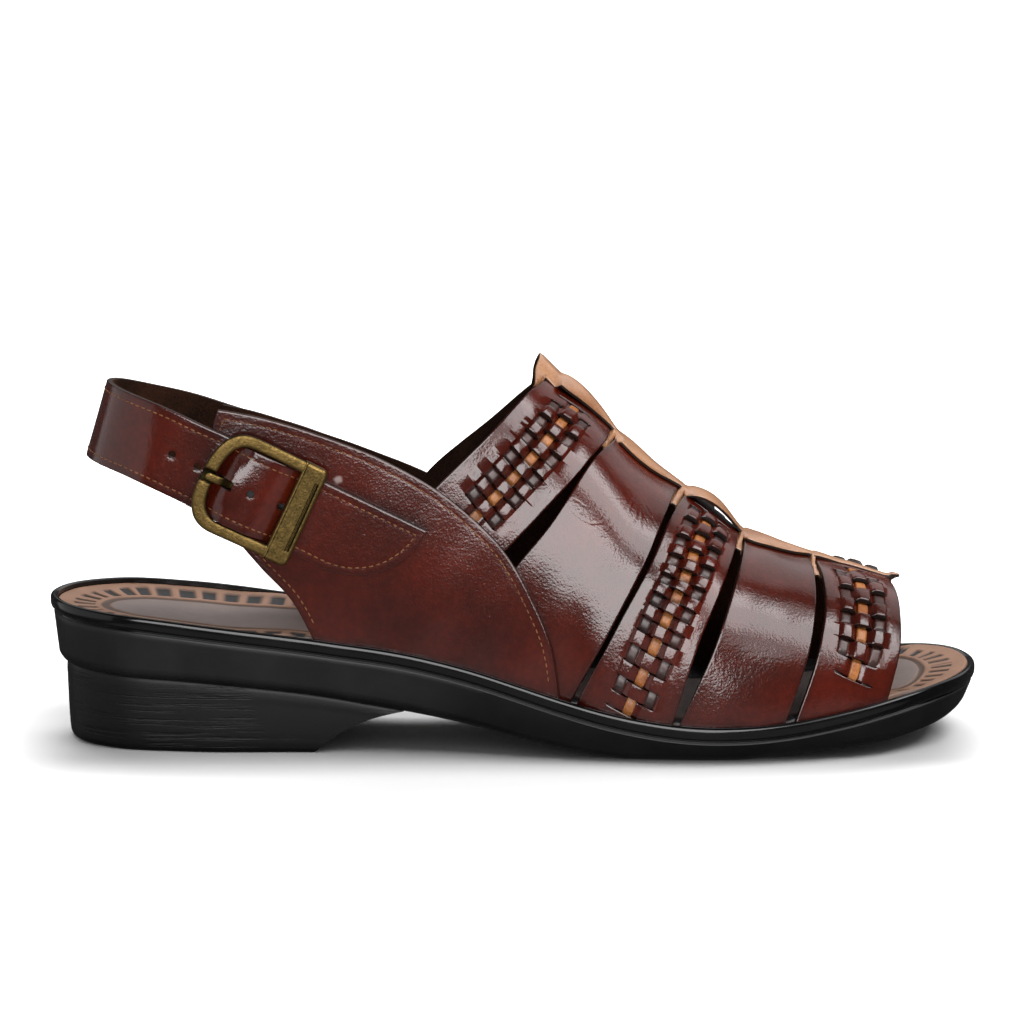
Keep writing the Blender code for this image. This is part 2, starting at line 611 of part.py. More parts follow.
def make_strap(material, parts, helpers):
    """The heel strap: sewn to the inner quarter, round the heel, and through the buckle."""
    across = np.linspace(-0.5, 0.5, 5) * STRAP_WIDTH
    centre, up, out = strap_loop()
    loop = centre[:, None] + across[:, None] * up[:, None]
    u = np.concatenate([np.linspace(-20.0, 14.0, 22)[1:], np.linspace(14.0, 22.0, 4)[1:],
                        STRAP_TIP_U - STRAP_WIDTH + STRAP_WIDTH * np.sin(np.linspace(0.0, 1.55, 10))])
    beyond = np.maximum(u - (STRAP_TIP_U - STRAP_WIDTH), 0.0)
    low = STRAP_WIDTH / 2.0 - np.sqrt(STRAP_WIDTH**2 - beyond**2)
    high = STRAP_WIDTH / 2.0
    w = low[:, None] + (high - low[:, None]) * np.linspace(0.0, 1.0, 5)
    rise = GAP + strap_rise(u[:, None], w)
    faces = []
    for lift in (0.0, STRAP_LEATHER):
        rear = loop + out[:, None] * lift
        faces.append(np.concatenate([rear, at_buckle(u[:, None], w, rise + lift)]))
    strap = weld("heel_strap", wall_between(*faces), material, parts)
    for number, hole_u in enumerate(STRAP_HOLES_U):
        hole = cylinder(f"hole_{number}", HOLE_RADIUS, 16.0, at_buckle(hole_u, 0.0, 3.0),
                        buckle_axes(hole_u, 0.0), helpers)
        boolean(strap, hole, "DIFFERENCE")
    slot = block("prong_slot", (PRONG_SLOT_U[1] - PRONG_SLOT_U[0], PRONG_WIDTH + 2.0 * GAP, 14.0),
                 at_buckle(sum(PRONG_SLOT_U) / 2.0, PRONG_W, 3.0), buckle_axes(-12.0, PRONG_W), helpers)
    boolean(strap, slot, "DIFFERENCE")
    return strap


def frame_loop(reach, half, corner, bow):
    """Return a loop in u and w: bowed at the rear, straight with round corners at the front."""
    angle = np.radians(np.linspace(90.0, 270.0, 17))
    squareness = 0.77
    rear_u = reach[0] + bow - bow * np.abs(np.cos(angle))**squareness
    rear_w = half * np.sign(np.sin(angle)) * np.abs(np.sin(angle))**squareness
    points = list(zip(rear_u, rear_w))
    for start, w in ((-90.0, corner - half), (0.0, half - corner)):
        turn = np.radians(start + np.linspace(0.0, 90.0, 4))
        points += list(zip(reach[1] - corner + corner * np.cos(turn), w + corner * np.sin(turn)))
    return np.array(points + points[:1])


def bar_height():
    """Height of the low bar's axis over the quarter: its wrappings clear the quarter."""
    return GAP + PRONG_DEPTH + GAP + BAR_RADIUS


def make_buckle_frame(material, parts, helpers):
    """The cast frame: a bowed rear bar, a wide plain front bar, and a low bar behind the strap."""
    outer = frame_loop(FRAME_REACH, FRAME_HALF, FRAME_CORNER, FRAME_BOW)
    inner = frame_loop(WINDOW_REACH, WINDOW_HALF, WINDOW_CORNER, WINDOW_BOW)
    section = []
    for t, n in FRAME_SECTION:
        line = outer * (1.0 - t) + inner * t
        section.append(at_buckle(line[:, 0], line[:, 1], FRAME_BASE + n * FRAME_DEPTH))
    frame = weld("buckle_frame", [np.stack(section)], material, parts)
    axes = buckle_axes(BAR_U, 0.0)
    lying = axes[:, [2, 0, 1]]
    bar = cylinder("bar", BAR_RADIUS, 2.0 * WINDOW_HALF + 3.4, at_buckle(BAR_U, 0.0, bar_height()),
                   lying, helpers)
    boolean(frame, bar, "UNION")
    foot, head = bar_height() - BAR_RADIUS - 0.2, FRAME_BASE + FRAME_DEPTH / 2.0
    for w in (-WINDOW_HALF - 1.8, WINDOW_HALF + 1.8):
        post = cylinder("post", 1.4, head - foot, at_buckle(BAR_U, w, (head + foot) / 2.0), axes,
                        helpers)
        boolean(frame, post, "UNION")
    rest_radius = 1.9
    rest_u = (FRAME_REACH[0] + WINDOW_REACH[0]) / 2.0
    rest_n = FRAME_BASE + FRAME_DEPTH - NOTCH_DEPTH + rest_radius
    notch = cylinder("prong_rest", rest_radius, 8.0, at_buckle(rest_u, PRONG_W, rest_n),
                     buckle_axes(rest_u, PRONG_W)[:, [1, 2, 0]], helpers)
    boolean(frame, notch, "DIFFERENCE")
    return frame


def ribbon(name, path, depth, width, middle_w, material, parts):
    """Make a flat bar bent along a path in u and n, 'width' across the strap."""
    path = np.array(path)
    run = np.gradient(path, axis=0)
    run /= np.linalg.norm(run, axis=1)[:, None]
    normal = np.column_stack([-run[:, 1], run[:, 0]])
    faces = []
    for offset in (-depth / 2.0, depth / 2.0):
        line = path + normal * offset
        faces.append(np.stack([at_buckle(line[:, 0], middle_w + w, line[:, 1])
                               for w in (-width / 2.0, width / 2.0)]))
    return weld(name, wall_between(*faces), material, parts)


def bar_wrap(radius, start, end, steps):
    """Return points of an arc round the low bar in u and n, its angles turning from +u to +n."""
    angle = np.radians(np.linspace(start, end, steps))
    return [(BAR_U + radius * math.cos(a), bar_height() + radius * math.sin(a)) for a in angle]


def make_prong(material, parts):
    """The prong: an eye round the low bar, a run under the strap, and a tip on the rear bar."""
    radius = BAR_RADIUS + GAP + PRONG_DEPTH / 2.0
    tip_n = FRAME_BASE + FRAME_DEPTH - NOTCH_DEPTH + 0.9 + PRONG_DEPTH / 2.0
    path = bar_wrap(radius, -180.0, 90.0, 15)
    run_n = path[-1][1]
    path += [(-6.0, run_n), (-9.0, run_n - 0.1), (-10.8, run_n + 0.2), (-12.6, run_n + 1.3),
             (-14.2, tip_n - 0.2), (-15.6, tip_n), (PRONG_TIP_U, tip_n)]
    return ribbon("buckle_prong", path, PRONG_DEPTH, PRONG_WIDTH, PRONG_W, material, parts)


def make_tab(material, parts, helpers):
    """The leather tab folded round the low bar and sewn to the quarter under the strap."""
    radius = BAR_RADIUS + GAP + TAB_LEATHER / 2.0
    low = GAP + TAB_LEATHER / 2.0
    high = low + TAB_LEATHER - BITE
    front = BAR_U + TAB_REACH
    path = [(front, low), (BAR_U + 2.5, low)] + bar_wrap(radius, -90.0, -270.0, 9)
    path += [(BAR_U + 1.2, bar_height() + radius - 0.1), (BAR_U + 2.6, high + 1.2),
             (BAR_U + 4.2, high + 0.1), (front, high)]
    tab = ribbon("buckle_tab", path, TAB_LEATHER, TAB_WIDTH, 0.0, material, parts)
    slot = block("prong_gap", (2.0 * radius + 2.6, PRONG_WIDTH + 2.0 * GAP, 12.0),
                 at_buckle(BAR_U, PRONG_W, 2.0), buckle_axes(BAR_U, PRONG_W), helpers)
    boolean(tab, slot, "DIFFERENCE")
    return tab


# ---------------------------------------------------------------- the shoe

def finish(name, colour, roughness, metallic):
    """Return a material of one plain finish."""
    material = bpy.data.materials.new(name)
    material.use_nodes = True
    shader = material.node_tree.nodes["Principled BSDF"]
    shader.inputs["Base Color"].default_value = colour
    shader.inputs["Roughness"].default_value = roughness
    shader.inputs["Metallic"].default_value = metallic
    return material


def new_collection(name):
    collection = bpy.data.collections.new(name)
    bpy.context.scene.collection.children.link(collection)
    return collection


def main():
    for leftover in list(bpy.data.objects):
        bpy.data.objects.remove(leftover, do_unlink=True)
    parts = new_collection("fisherman_sandal")
    helpers = new_collection("helpers")
    rubber = finish(*SOLE_RUBBER)
    upper_leather = finish(*LEATHER)
    brass = finish(*BRASS)
    make_outsole(rubber, parts)
    make_heel(rubber, parts)
    make_insole(finish(*FOOTBED), parts)
    make_upper(upper_leather, parts, helpers)
    make_strap(upper_leather, parts, helpers)
    make_buckle_frame(brass, parts, helpers)
    make_prong(brass, parts)
    make_tab(upper_leather, parts, helpers)


main()
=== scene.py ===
# %% [markdown]
# # Looks of a fisherman sandal with a buckled heel strap
#
# The shoe is a man's right sandal: a black moulded sole unit, a leather footbed, five vamp bands of
# which three are woven, two quarters, a tan strip over the instep, and a heel strap with a brass
# buckle. The solid model gives the sizes, and this file gives each piece its real edges, weave,
# stitching and finish. Lengths are in millimetres until a mesh is written, because a shoemaker's
# tools and patterns are too. +X points to the toe, +Y to the inner side, and +Z up.

# %% Load the solid model
import math

import bmesh
import bpy
import numpy as np
from mathutils import Matrix, Vector
from mathutils.kdtree import KDTree


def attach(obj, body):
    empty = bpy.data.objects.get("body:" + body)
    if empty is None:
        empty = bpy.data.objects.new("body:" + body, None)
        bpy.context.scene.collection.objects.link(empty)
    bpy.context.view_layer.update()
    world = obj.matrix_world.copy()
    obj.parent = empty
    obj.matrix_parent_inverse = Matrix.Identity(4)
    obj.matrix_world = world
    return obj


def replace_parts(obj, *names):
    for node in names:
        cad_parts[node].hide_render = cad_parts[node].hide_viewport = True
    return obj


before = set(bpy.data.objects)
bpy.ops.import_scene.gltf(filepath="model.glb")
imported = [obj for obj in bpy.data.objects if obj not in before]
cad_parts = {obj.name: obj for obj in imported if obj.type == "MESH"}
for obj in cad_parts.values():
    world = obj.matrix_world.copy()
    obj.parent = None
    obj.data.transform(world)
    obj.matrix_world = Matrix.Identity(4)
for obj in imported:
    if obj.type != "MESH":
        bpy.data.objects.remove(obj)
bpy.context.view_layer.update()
MM = 0.001
OUTER, INNER = -1, 1     # sides of the foot: the outer side is at -Y on a right shoe

# %% [markdown]
# ## Camera, light and floor
#
# A long lens from 1.8 m keeps the shoe's proportions as a catalogue picture does. The camera looks
# down a little, so that the footbed shows behind the strap. It aims above the shoe, which leaves
# the same white space over it as under it, and needs no lens shift.
#
# Polished leather is seen mostly by what it mirrors, so the lights are large soft boxes. The floor
# and the sky are white to the eye, but they are hidden from reflections: a real studio is dark
# round the white sweep, and that dark keeps the leather's colour deep. Outside the shoe's footprint
# the paper also glows, as painted light, so that it burns out to white round a tight shadow.

# %% Camera


def put(name, data):
    """Add an object with its data to the scene."""
    made = bpy.data.objects.new(name, data)
    bpy.context.scene.collection.objects.link(made)
    return made


CAMERA_RISE = math.radians(12.3)
CAMERA_DISTANCE = 1800.0
SHOE_MIDDLE = Vector((0.0, 0.0, 40.0))
WIDTH_IN_VIEW = 320.7    # width that the picture takes in at the shoe
AIM_ABOVE = 30.07        # the shoe's middle lies this far under the middle of the picture
AIM_LEFT = 0.63
SENSOR = 36.0

back = Vector((0.0, -math.cos(CAMERA_RISE), math.sin(CAMERA_RISE)))
up_picture = Vector((0.0, math.sin(CAMERA_RISE), math.cos(CAMERA_RISE)))
aim = SHOE_MIDDLE + up_picture * AIM_ABOVE + Vector((-AIM_LEFT, 0.0, 0.0))
place = SHOE_MIDDLE + back * CAMERA_DISTANCE
lens = bpy.data.cameras.new("camera")
lens.sensor_width = SENSOR
lens.lens = SENSOR * CAMERA_DISTANCE / WIDTH_IN_VIEW
lens.clip_end = 100.0
camera = put("camera", lens)
camera.location = place * MM
camera.rotation_euler = (aim - place).to_track_quat("-Z", "Y").to_euler()
bpy.context.scene.camera = camera
bpy.context.scene.view_settings.view_transform = "Standard"
print("lens, mm:", round(lens.lens, 1))

# %% [markdown]
# Every colour below is the hex value that a painter would pick on a screen, turned into Blender's
# linear light. A finish is mixed in layers, as a tanner does it: noise, ramps between two values,
# blends of two colours, and bumps over bumps. Each layer is one short method that adds a node.

# %% Colours and layers of a finish


def linear(code):
    """Turn an sRGB hex colour such as "#c98a55" into Blender's linear colour."""
    parts = [int(code[i:i + 2], 16) / 255.0 for i in (1, 3, 5)]
    return [p / 12.92 if p <= 0.04045 else ((p + 0.055) / 1.055)**2.4 for p in parts] + [1.0]


def add(tree, kind, inputs=None, **settings):
    """Add a node: inputs hold values or the sockets that feed them, and settings its options."""
    made = tree.nodes.new("ShaderNode" + kind)
    for name, value in settings.items():
        setattr(made, name, value)
    for name, value in (inputs or {}).items():
        plug(tree, value, made.inputs[name])
    return made


def plug(tree, value, socket):
    """Link a socket to the one that feeds it, or give it a value."""
    if isinstance(value, bpy.types.NodeSocket):
        tree.links.new(value, socket)
    else:
        socket.default_value = value


class Finish:
    """A material in the making. Its methods add a layer each and return what the layer gives."""

    def __init__(self, name, **settings):
        self.material = bpy.data.materials.new(name)
        self.material.use_nodes = True
        self.tree = self.material.node_tree
        self.place = add(self.tree, "TexCoord").outputs["Object"]    # in metres
        self.set(**settings)

    def set(self, **inputs):
        """Set inputs of the shader, with underscores for the spaces in their names."""
        shader = self.tree.nodes["Principled BSDF"]
        for name, value in inputs.items():
            plug(self.tree, value, shader.inputs[name.replace("_", " ")])

    def noise(self, scale, detail=2.0, roughness=0.5, **more):
        inputs = {"Vector": self.place, "Scale": scale, "Detail": detail, "Roughness": roughness}
        return add(self.tree, "TexNoise", {**inputs, **more}).outputs["Fac"]

    def written(self, name):
        """Read a value that the mesh carries on its points."""
        return add(self.tree, "Attribute", attribute_name=name).outputs["Fac"]

    def ramp(self, value, start, end, low=0.0, high=1.0, **settings):
        """Go from 'low' where the value is at 'start' to 'high' where it is at 'end'."""
        inputs = {"Value": value, "From Min": start, "From Max": end, "To Min": low, "To Max": high}
        return add(self.tree, "MapRange", inputs, **settings).outputs[0]

    def maths(self, operation, first, second):
        return add(self.tree, "Math", {0: first, 1: second}, operation=operation).outputs[0]

    def fade(self, share, first, second):
        """Mix two values by a share."""
        return add(self.tree, "Mix", {0: share, 2: first, 3: second}).outputs[0]

    def blend(self, share, first, second, **settings):
        """Mix two colours by a share. Each is a hex value or what a layer gives."""
        first, second = (linear(c) if isinstance(c, str) else c for c in (first, second))
        return add(self.tree, "Mix", {0: share, 6: first, 7: second}, data_type="RGBA",
                   **settings).outputs[2]

    def bump(self, height, depth_mm, strength, over=None):
        """Raise the surface by a height of 0 to 1, over another bump if there is one."""
        inputs = {"Height": height, "Distance": depth_mm * MM, "Strength": strength}
        if over is not None:
            inputs["Normal"] = over
        return add(self.tree, "Bump", inputs).outputs[0]


# %% Light and floor


def soft_box(name, centre, size, radiance, matt=True, gloss=True, roll=0.0):
    """Hang a soft box: a lit rectangle, given in millimetres, that faces the shoe.

    Radiance is relative to white paper. A card with matt False is only mirrored in gloss, and one
    with gloss False only lights matt surfaces. Roll turns it in its own plane, in degrees.
    """
    box = bpy.data.lights.new(name, "AREA")
    box.shape = "RECTANGLE"
    box.size, box.size_y = size[0] * MM, size[1] * MM
    box.energy = radiance * math.pi * box.size * box.size_y
    lamp = put(name, box)
    lamp.location = Vector(centre) * MM
    facing = (SHOE_MIDDLE * MM - lamp.location).to_track_quat("-Z", "Y").to_matrix()
    lamp.rotation_euler = (facing @ Matrix.Rotation(math.radians(roll), 3, "Z")).to_euler()
    lamp.visible_camera = False
    lamp.visible_diffuse = matt
    lamp.visible_glossy = gloss
    return lamp


def around(turn, rise, distance=1300.0):
    """Return a place round the shoe: degrees from the front towards the toe, degrees up."""
    turn, rise = math.radians(turn), math.radians(rise)
    flat = distance * math.cos(rise)
    return SHOE_MIDDLE + Vector((flat * math.sin(turn), -flat * math.cos(turn),
                                 distance * math.sin(rise)))


soft_box("soft_box_toe", around(66.0, 54.0), (960.0, 760.0), 4.6, gloss=False)
soft_box("soft_box_behind", around(180.0, 50.0), (1700.0, 640.0), 5.2, gloss=False)
soft_box("mirror_front", around(-6.0, 23.0), (980.0, 980.0), 8.4, matt=False, roll=-15.0)
soft_box("mirror_between", around(24.0, 32.0), (420.0, 420.0), 2.4, matt=False)
soft_box("mirror_toe", around(60.0, 43.0), (860.0, 880.0), 6.4, matt=False)
soft_box("mirror_toe_fall_off", around(84.0, 52.0), (420.0, 760.0), 2.2, matt=False)
soft_box("mirror_left", around(-88.0, 12.0), (2100.0, 1300.0), 0.7, matt=False)
soft_box("mirror_behind", around(160.0, 38.0), (1700.0, 900.0), 0.8, matt=False)
table_card = soft_box("mirror_table", SHOE_MIDDLE + Vector((0.0, -125.0, -39.0)), (380.0, 150.0),
                      0.3, matt=False)
table_card.rotation_euler = (math.pi, 0.0, 0.0)

sky = bpy.data.worlds.new("dark studio")
bpy.context.scene.world = sky
sky.use_nodes = True
sky_tree = sky.node_tree
sky_tree.nodes.clear()
ray = add(sky_tree, "LightPath").outputs
to_eye, to_matt, to_gloss = (
    add(sky_tree, "Background", {"Color": linear("#ffffff"), "Strength": strength}).outputs[0]
    for strength in (1.05, 0.18, 0.05))
matt_or_gloss = add(sky_tree, "MixShader", {0: ray["Is Glossy Ray"], 1: to_matt, 2: to_gloss})
any_ray = add(sky_tree, "MixShader", {0: ray["Is Camera Ray"], 1: matt_or_gloss.outputs[0],
                                      2: to_eye})
add(sky_tree, "OutputWorld", {"Surface": any_ray.outputs[0]})

FLOOR_SIZE = 60.0
FOOTPRINT = (0.130, 0.031, 1.0)    # half sizes in metres of the stretch of paper under the shoe
floor_data = bpy.data.meshes.new("floor")
half = FLOOR_SIZE / 2.0
floor_data.from_pydata([(-half, -half, 0.0), (half, -half, 0.0), (half, half, 0.0),
                        (-half, half, 0.0)], [], [(0, 1, 2, 3)])
floor = put("floor", floor_data)
paper = Finish("white paper sweep", Roughness=0.9)
tone = paper.ramp(paper.noise(900.0), 0.0, 1.0, 0.82, 0.84)
mirrored = add(paper.tree, "VectorMath", {0: paper.place}, operation="ABSOLUTE")
past = add(paper.tree, "VectorMath", {0: mirrored.outputs[0], 1: FOOTPRINT},
           operation="SUBTRACT")
outside = add(paper.tree, "VectorMath", {0: past.outputs[0]}, operation="MAXIMUM")
away = add(paper.tree, "VectorMath", {0: outside.outputs[0]}, operation="LENGTH").outputs["Value"]
# Painted light: the paper glows a little just outside the footprint and more the further away it lies
beside = paper.ramp(away, 0.0, 0.032, 0.0, 0.44, interpolation_type="SMOOTHSTEP")
beyond = paper.ramp(away, 0.02, 0.4, 0.0, 0.56)
paper.set(Base_Color=add(paper.tree, "CombineColor", {0: tone, 1: tone, 2: tone}).outputs[0],
          Emission_Color=linear("#ffffff"), Emission_Strength=paper.maths("ADD", beside, beyond))
floor.data.materials.append(paper.material)
floor.visible_glossy = False

# %% [markdown]
# ## From tables to meshes
#
# A pattern maker describes a shoe by a few curves. Here each curve is a table with a row for each
# place that was measured, read with a cubic through the rows. Surfaces are grids of points between
# such curves. Grids that meet edge to edge are joined into one closed mesh, and each point carries
# its distance to the nearest cut edge, which the leather finishes use later.

# %% Curves and meshes


def through(rows, column, at):
    """Read a column of a table at the places 'at', on a cubic through its rows."""
    place = rows[:, 0]
    value = rows[:, column]
    slope = np.gradient(value, place)
    at = np.clip(np.asarray(at, float), place[0], place[-1])
    row = np.clip(np.searchsorted(place, at) - 1, 0, len(place) - 2)
    step = place[row + 1] - place[row]
    t = (at - place[row]) / step
    start = (2 * t**3 - 3 * t**2 + 1) * value[row] + (t**3 - 2 * t**2 + t) * step * slope[row]
    end = (3 * t**2 - 2 * t**3) * value[row + 1] + (t**3 - t**2) * step * slope[row + 1]
    return start + end


def travelled(points):
    """Return the length run along a line of points, from 0 at its start."""
    steps = np.linalg.norm(np.diff(points, axis=0), axis=-1)
    return np.concatenate([np.zeros((1,) + steps.shape[1:]), np.cumsum(steps, axis=0)])


def read_line(at, length, *fields):
    """Read fields of vectors, one after the other, at distances along a line."""
    return [np.stack([np.interp(at, length, field[:, axis]) for axis in range(3)], axis=-1)
            for field in fields]


def unit(vectors):
    """Return the directions of vectors."""
    return vectors / np.linalg.norm(vectors, axis=-1, keepdims=True)


def lerp(first, second, share):
    """Go from the first to the second by a share."""
    return first * (1.0 - share) + second * share


def along_curve(rows, share):
    """Return points at shares 0 to 1 of the length of a smooth curve through the rows."""
    length = travelled(rows[:, :2])
    table = np.column_stack([length, rows])
    at = np.asarray(share, float) * length[-1]
    return np.stack([through(table, column + 1, at) for column in range(rows.shape[1])], axis=-1)


def arched(t):
    """Return 1 in the middle, at t 0.5, and 0 at both ends."""
    return 4.0 * t * (1.0 - t)


def ease(at, start, end):
    """Rise smoothly from 0 at 'start' to 1 at 'end'."""
    t = np.clip((np.asarray(at, float) - start) / (end - start), 0.0, 1.0)
    return t * t * (3.0 - 2.0 * t)


def between(at, start, full, fading, end):
    """Rise smoothly from 0 at 'start' to 1 at 'full', then fall from 'fading' to 0 at 'end'."""
    return ease(at, start, full) * (1.0 - ease(at, fading, end))


def bell(gone, width):
    """Fall from 1 at a place to almost 0 at two widths from it."""
    return np.exp(-(gone / width)**2)


def all_round(count):
    """Return the angles of a full turn in 'count' steps, both ends included."""
    return np.linspace(0.0, 2.0 * math.pi, count + 1)


def crowded_ends(count):
    """Return shares from 0 to 1 that crowd at both ends."""
    return (1.0 - np.cos(np.linspace(0.0, math.pi, count))) / 2.0


UNCUT = 9.0              # distance to the edge, in mm, that is written where nothing is cut
WELD = 0.004             # points this near, in mm, become one


def make_piece(name, patches, finishes, replaced=(), sharp=40.0):
    """Join patches (points, distance to the edge, finish number) into one closed mesh."""
    points, edges, faces, numbers, count = [], [], [], [], 0
    for grid, edge, number in patches:
        rows, columns = grid.shape[:2]
        at = count + np.arange(rows * columns).reshape(rows, columns)
        quads = np.stack([at[:-1, :-1], at[1:, :-1], at[1:, 1:], at[:-1, 1:]], axis=-1)
        faces.append(quads.reshape(-1, 4))
        numbers.append(np.full(len(faces[-1]), number))
        points.append(grid.reshape(-1, 3))
        edges.append(np.broadcast_to(edge, (rows, columns)).reshape(-1))
        count += rows * columns
    data = bpy.data.meshes.new(name)
    data.from_pydata((np.concatenate(points) * MM).tolist(), [], np.concatenate(faces).tolist())
    data.attributes.new("edge_mm", "FLOAT", "POINT").data.foreach_set(
        "value", np.concatenate(edges).astype(np.float32))
    data.polygons.foreach_set("material_index", np.concatenate(numbers).astype(np.int32))
    mesh = bmesh.new()
    mesh.from_mesh(data)
    bmesh.ops.remove_doubles(mesh, verts=mesh.verts, dist=WELD * MM)
    bmesh.ops.dissolve_degenerate(mesh, edges=mesh.edges, dist=0.5 * WELD * MM)
    bmesh.ops.recalc_face_normals(mesh, faces=mesh.faces)
    if mesh.calc_volume(signed=True) < 0.0:
        bmesh.ops.reverse_faces(mesh, faces=mesh.faces)
    open_edges = sum(not edge.is_manifold for edge in mesh.edges)
    mesh.to_mesh(data)
    mesh.free()
    return put_in_place(name, data, finishes, replaced, sharp, open_edges)


def put_in_place(name, data, finishes, replaced, sharp, open_edges=0):
    """Add a finished mesh to the shoe: its materials, its body and the solids it stands for."""
    piece = put(name, data)
    for finish in finishes:
        data.materials.append(finish)
    data.shade_smooth()
    data.set_sharp_from_angle(angle=math.radians(sharp))
    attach(piece, "root")
    if replaced:
        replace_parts(piece, *replaced)
    print(f"{name}: {len(data.polygons)} faces, {open_edges} open edges")
    return piece


def rounded_wall(first, second, edge_finish, lining_finish):
    """Return a cut edge between two lines of points: leather outside and lining inside."""
    share = np.linspace(0.0, 1.0, 5)[:, None, None]
    line = lerp(first, second, share)
    return [(line[:4], 0.0, edge_finish), (line[3:], 0.0, lining_finish)]


def make_sheet(name, outer, inner, edge, finishes, replaced=()):
    """Make a sheet from its two faces, all in one finish or in one each for face, cut and lining."""
    cut_number, lining_number = (1, 2) if len(finishes) == 3 else (0, 0)
    patches = [(outer, edge, 0), (inner, edge, lining_number)]
    for first, second in ((outer[0], inner[0]), (outer[-1], inner[-1]),
                          (outer[:, 0], inner[:, 0]), (outer[:, -1], inner[:, -1])):
        patches += rounded_wall(first, second, cut_number, lining_number)
    return make_piece(name, patches, finishes, replaced)


# %% [markdown]
# ## Sole unit
#
# The real sole is one moulding of black polyurethane with the heel block under it. Its rim is a
# glossy bead that hides the joint with the upper, a fine groove runs under the bead, and the wall
# below is satin. It could be lathed or boxed and bevelled, but the foot's outline is neither round
# nor square. So the outline is a table, and the side of the sole is a section that follows it.

# %% Outline and heights of the sole
GAP = 0.3
LIP_WIDTH = 2.2
TRAY_DEPTH = 2.8
OUTLINE = np.array([
    (-145.0, 0.0), (-140.0, -16.0), (-126.0, -27.5), (-103.0, -32.5), (-60.0, -33.5),
    (-12.0, -37.0), (30.0, -44.5), (60.0, -47.0), (93.0, -43.0), (121.0, -32.5),
    (138.5, -15.0), (145.0, 7.0), (140.0, 27.0), (122.0, 41.0), (93.0, 46.3),
    (62.0, 46.3), (30.0, 40.6), (-12.0, 32.0), (-60.0, 32.0), (-103.0, 32.5),
    (-126.0, 27.5), (-140.0, 16.0),
])
TOE_ROW = 11             # row of the outline at the tip of the toe
# Heights of the sole: x, top of the rim, underside
PROFILE = np.array([
    (-145.0, 45.3, 25.0), (-120.0, 43.8, 23.6), (-100.0, 41.8, 22.6), (-80.0, 39.4, 20.8),
    (-56.0, 36.2, 17.8), (-34.0, 33.0, 13.8), (-15.0, 28.7, 9.4), (0.0, 24.3, 5.4),
    (16.0, 19.6, 2.2), (32.0, 15.7, 0.1), (50.0, 13.0, -0.6), (70.0, 12.4, 0.0),
    (86.0, 13.6, 1.6), (102.0, 16.0, 3.5), (118.0, 19.0, 5.3), (132.0, 21.1, 7.7),
    (145.0, 22.0, 11.2),
])


def rim_halves(samples=1200):
    """Return the rim's outer and inner half from heel to toe, as points and outward normals."""
    wrap = 3
    ring = np.vstack([OUTLINE[-wrap:], OUTLINE, OUTLINE[:wrap + 1]])
    table = np.column_stack([travelled(ring), ring])
    length = table[:, 0]
    heel, toe, heel_again = length[wrap], length[wrap + TOE_ROW], length[wrap + len(OUTLINE)]
    halves = {}
    for side, start in ((OUTER, heel), (INNER, heel_again)):
        at = np.linspace(start, toe, samples)
        points = np.column_stack([through(table, 1, at), through(table, 2, at)])
        run = np.gradient(points, axis=0)
        run[0] = (0.0, side)
        run[-1] = (0.0, -side)
        run = unit(run)
        halves[side] = (points, side * np.column_stack([-run[:, 1], run[:, 0]]))
    return halves


RIM_HALVES = rim_halves()
RIM_SHARES = crowded_ends(201)


def rim_line(side, inset, share):
    """Return points of one half of the rim at shares of its length, moved inwards by 'inset'."""
    points, normal = RIM_HALVES[side]
    if callable(inset):
        inset = inset(points[:, 0])[:, None]
    line = points - inset * normal
    at = np.linspace(0.0, 1.0, len(line))
    return np.column_stack([np.interp(share, at, line[:, 0]), np.interp(share, at, line[:, 1])])


def rim_y(x, side, inset):
    """Return y of one half of the rim at x, moved inwards by 'inset'."""
    line = rim_line(side, inset, np.linspace(0.0, 1.0, 1200))
    return np.interp(x, line[:, 0], line[:, 1])


def rim_ring(inset, height):
    """Return a closed ring: the outer half from heel to toe, then the inner half back."""
    outer, inner = (rim_line(side, inset, RIM_SHARES) for side in (OUTER, INNER))
    line = np.vstack([outer, inner[::-1]])
    return np.column_stack([line, height(line[:, 0])])


def deck(inset, height, across=6, dish=0.0):
    """Return a grid from the outer to the inner half of the rim, sunk by 'dish' in its middle."""
    outer, inner = (rim_line(side, inset, RIM_SHARES) for side in (OUTER, INNER))
    t = np.linspace(0.0, 1.0, across + 1)[:, None, None]
    flat = lerp(outer, inner, t)
    z = height(flat[..., 0]) - dish * arched(t[..., 0])
    return np.concatenate([flat, z[..., None]], axis=-1)


def rim_top(x):
    return through(PROFILE, 1, x)


def underside(x):
    """Height of the tread, which is flat on the floor where the ball of the foot stands."""
    return np.maximum(through(PROFILE, 2, x), 0.0)


def under_foot(x):
    """Return 1 under the ball of the foot and 0 at the heel and at the toe."""
    return between(x, -50.0, 0.0, 75.0, 120.0)


print("rim length, mm:", round(sum(travelled(RIM_HALVES[s][0])[-1] for s in (OUTER, INNER)), 1))

# %% [markdown]
# The finish is moulded polyurethane, which is matt black where the mould was blasted and glossy
# where it was polished. Its IOR is about 1.5. The wall gets a fine blasted grain of 0.5 mm, wider
# than the real 0.1 mm so that it shows. A little pale dust lies on it, and the bead keeps a clear
# shine with long soft ripples, because the bead of a flexible moulding is never quite straight.

# %% Finishes of the sole


def sole_finish(name, body, worn, roughness, grain_depth, gloss):
    """Moulded polyurethane: a body colour, worn lighter in patches, under a blasted grain."""
    made = Finish(name, IOR=1.5, Specular_IOR_Level=gloss)
    patches = made.noise(60.0, 5.0)
    ripple = made.bump(made.noise(90.0, 1.0), 0.25, 0.5)
    made.set(Base_Color=made.blend(made.ramp(patches, 0.42, 0.75), body, worn),
             Roughness=made.ramp(patches, 0.0, 1.0, roughness - 0.07, roughness + 0.12),
             Normal=made.bump(made.noise(2000.0), grain_depth, 0.6, ripple))
    return made.material


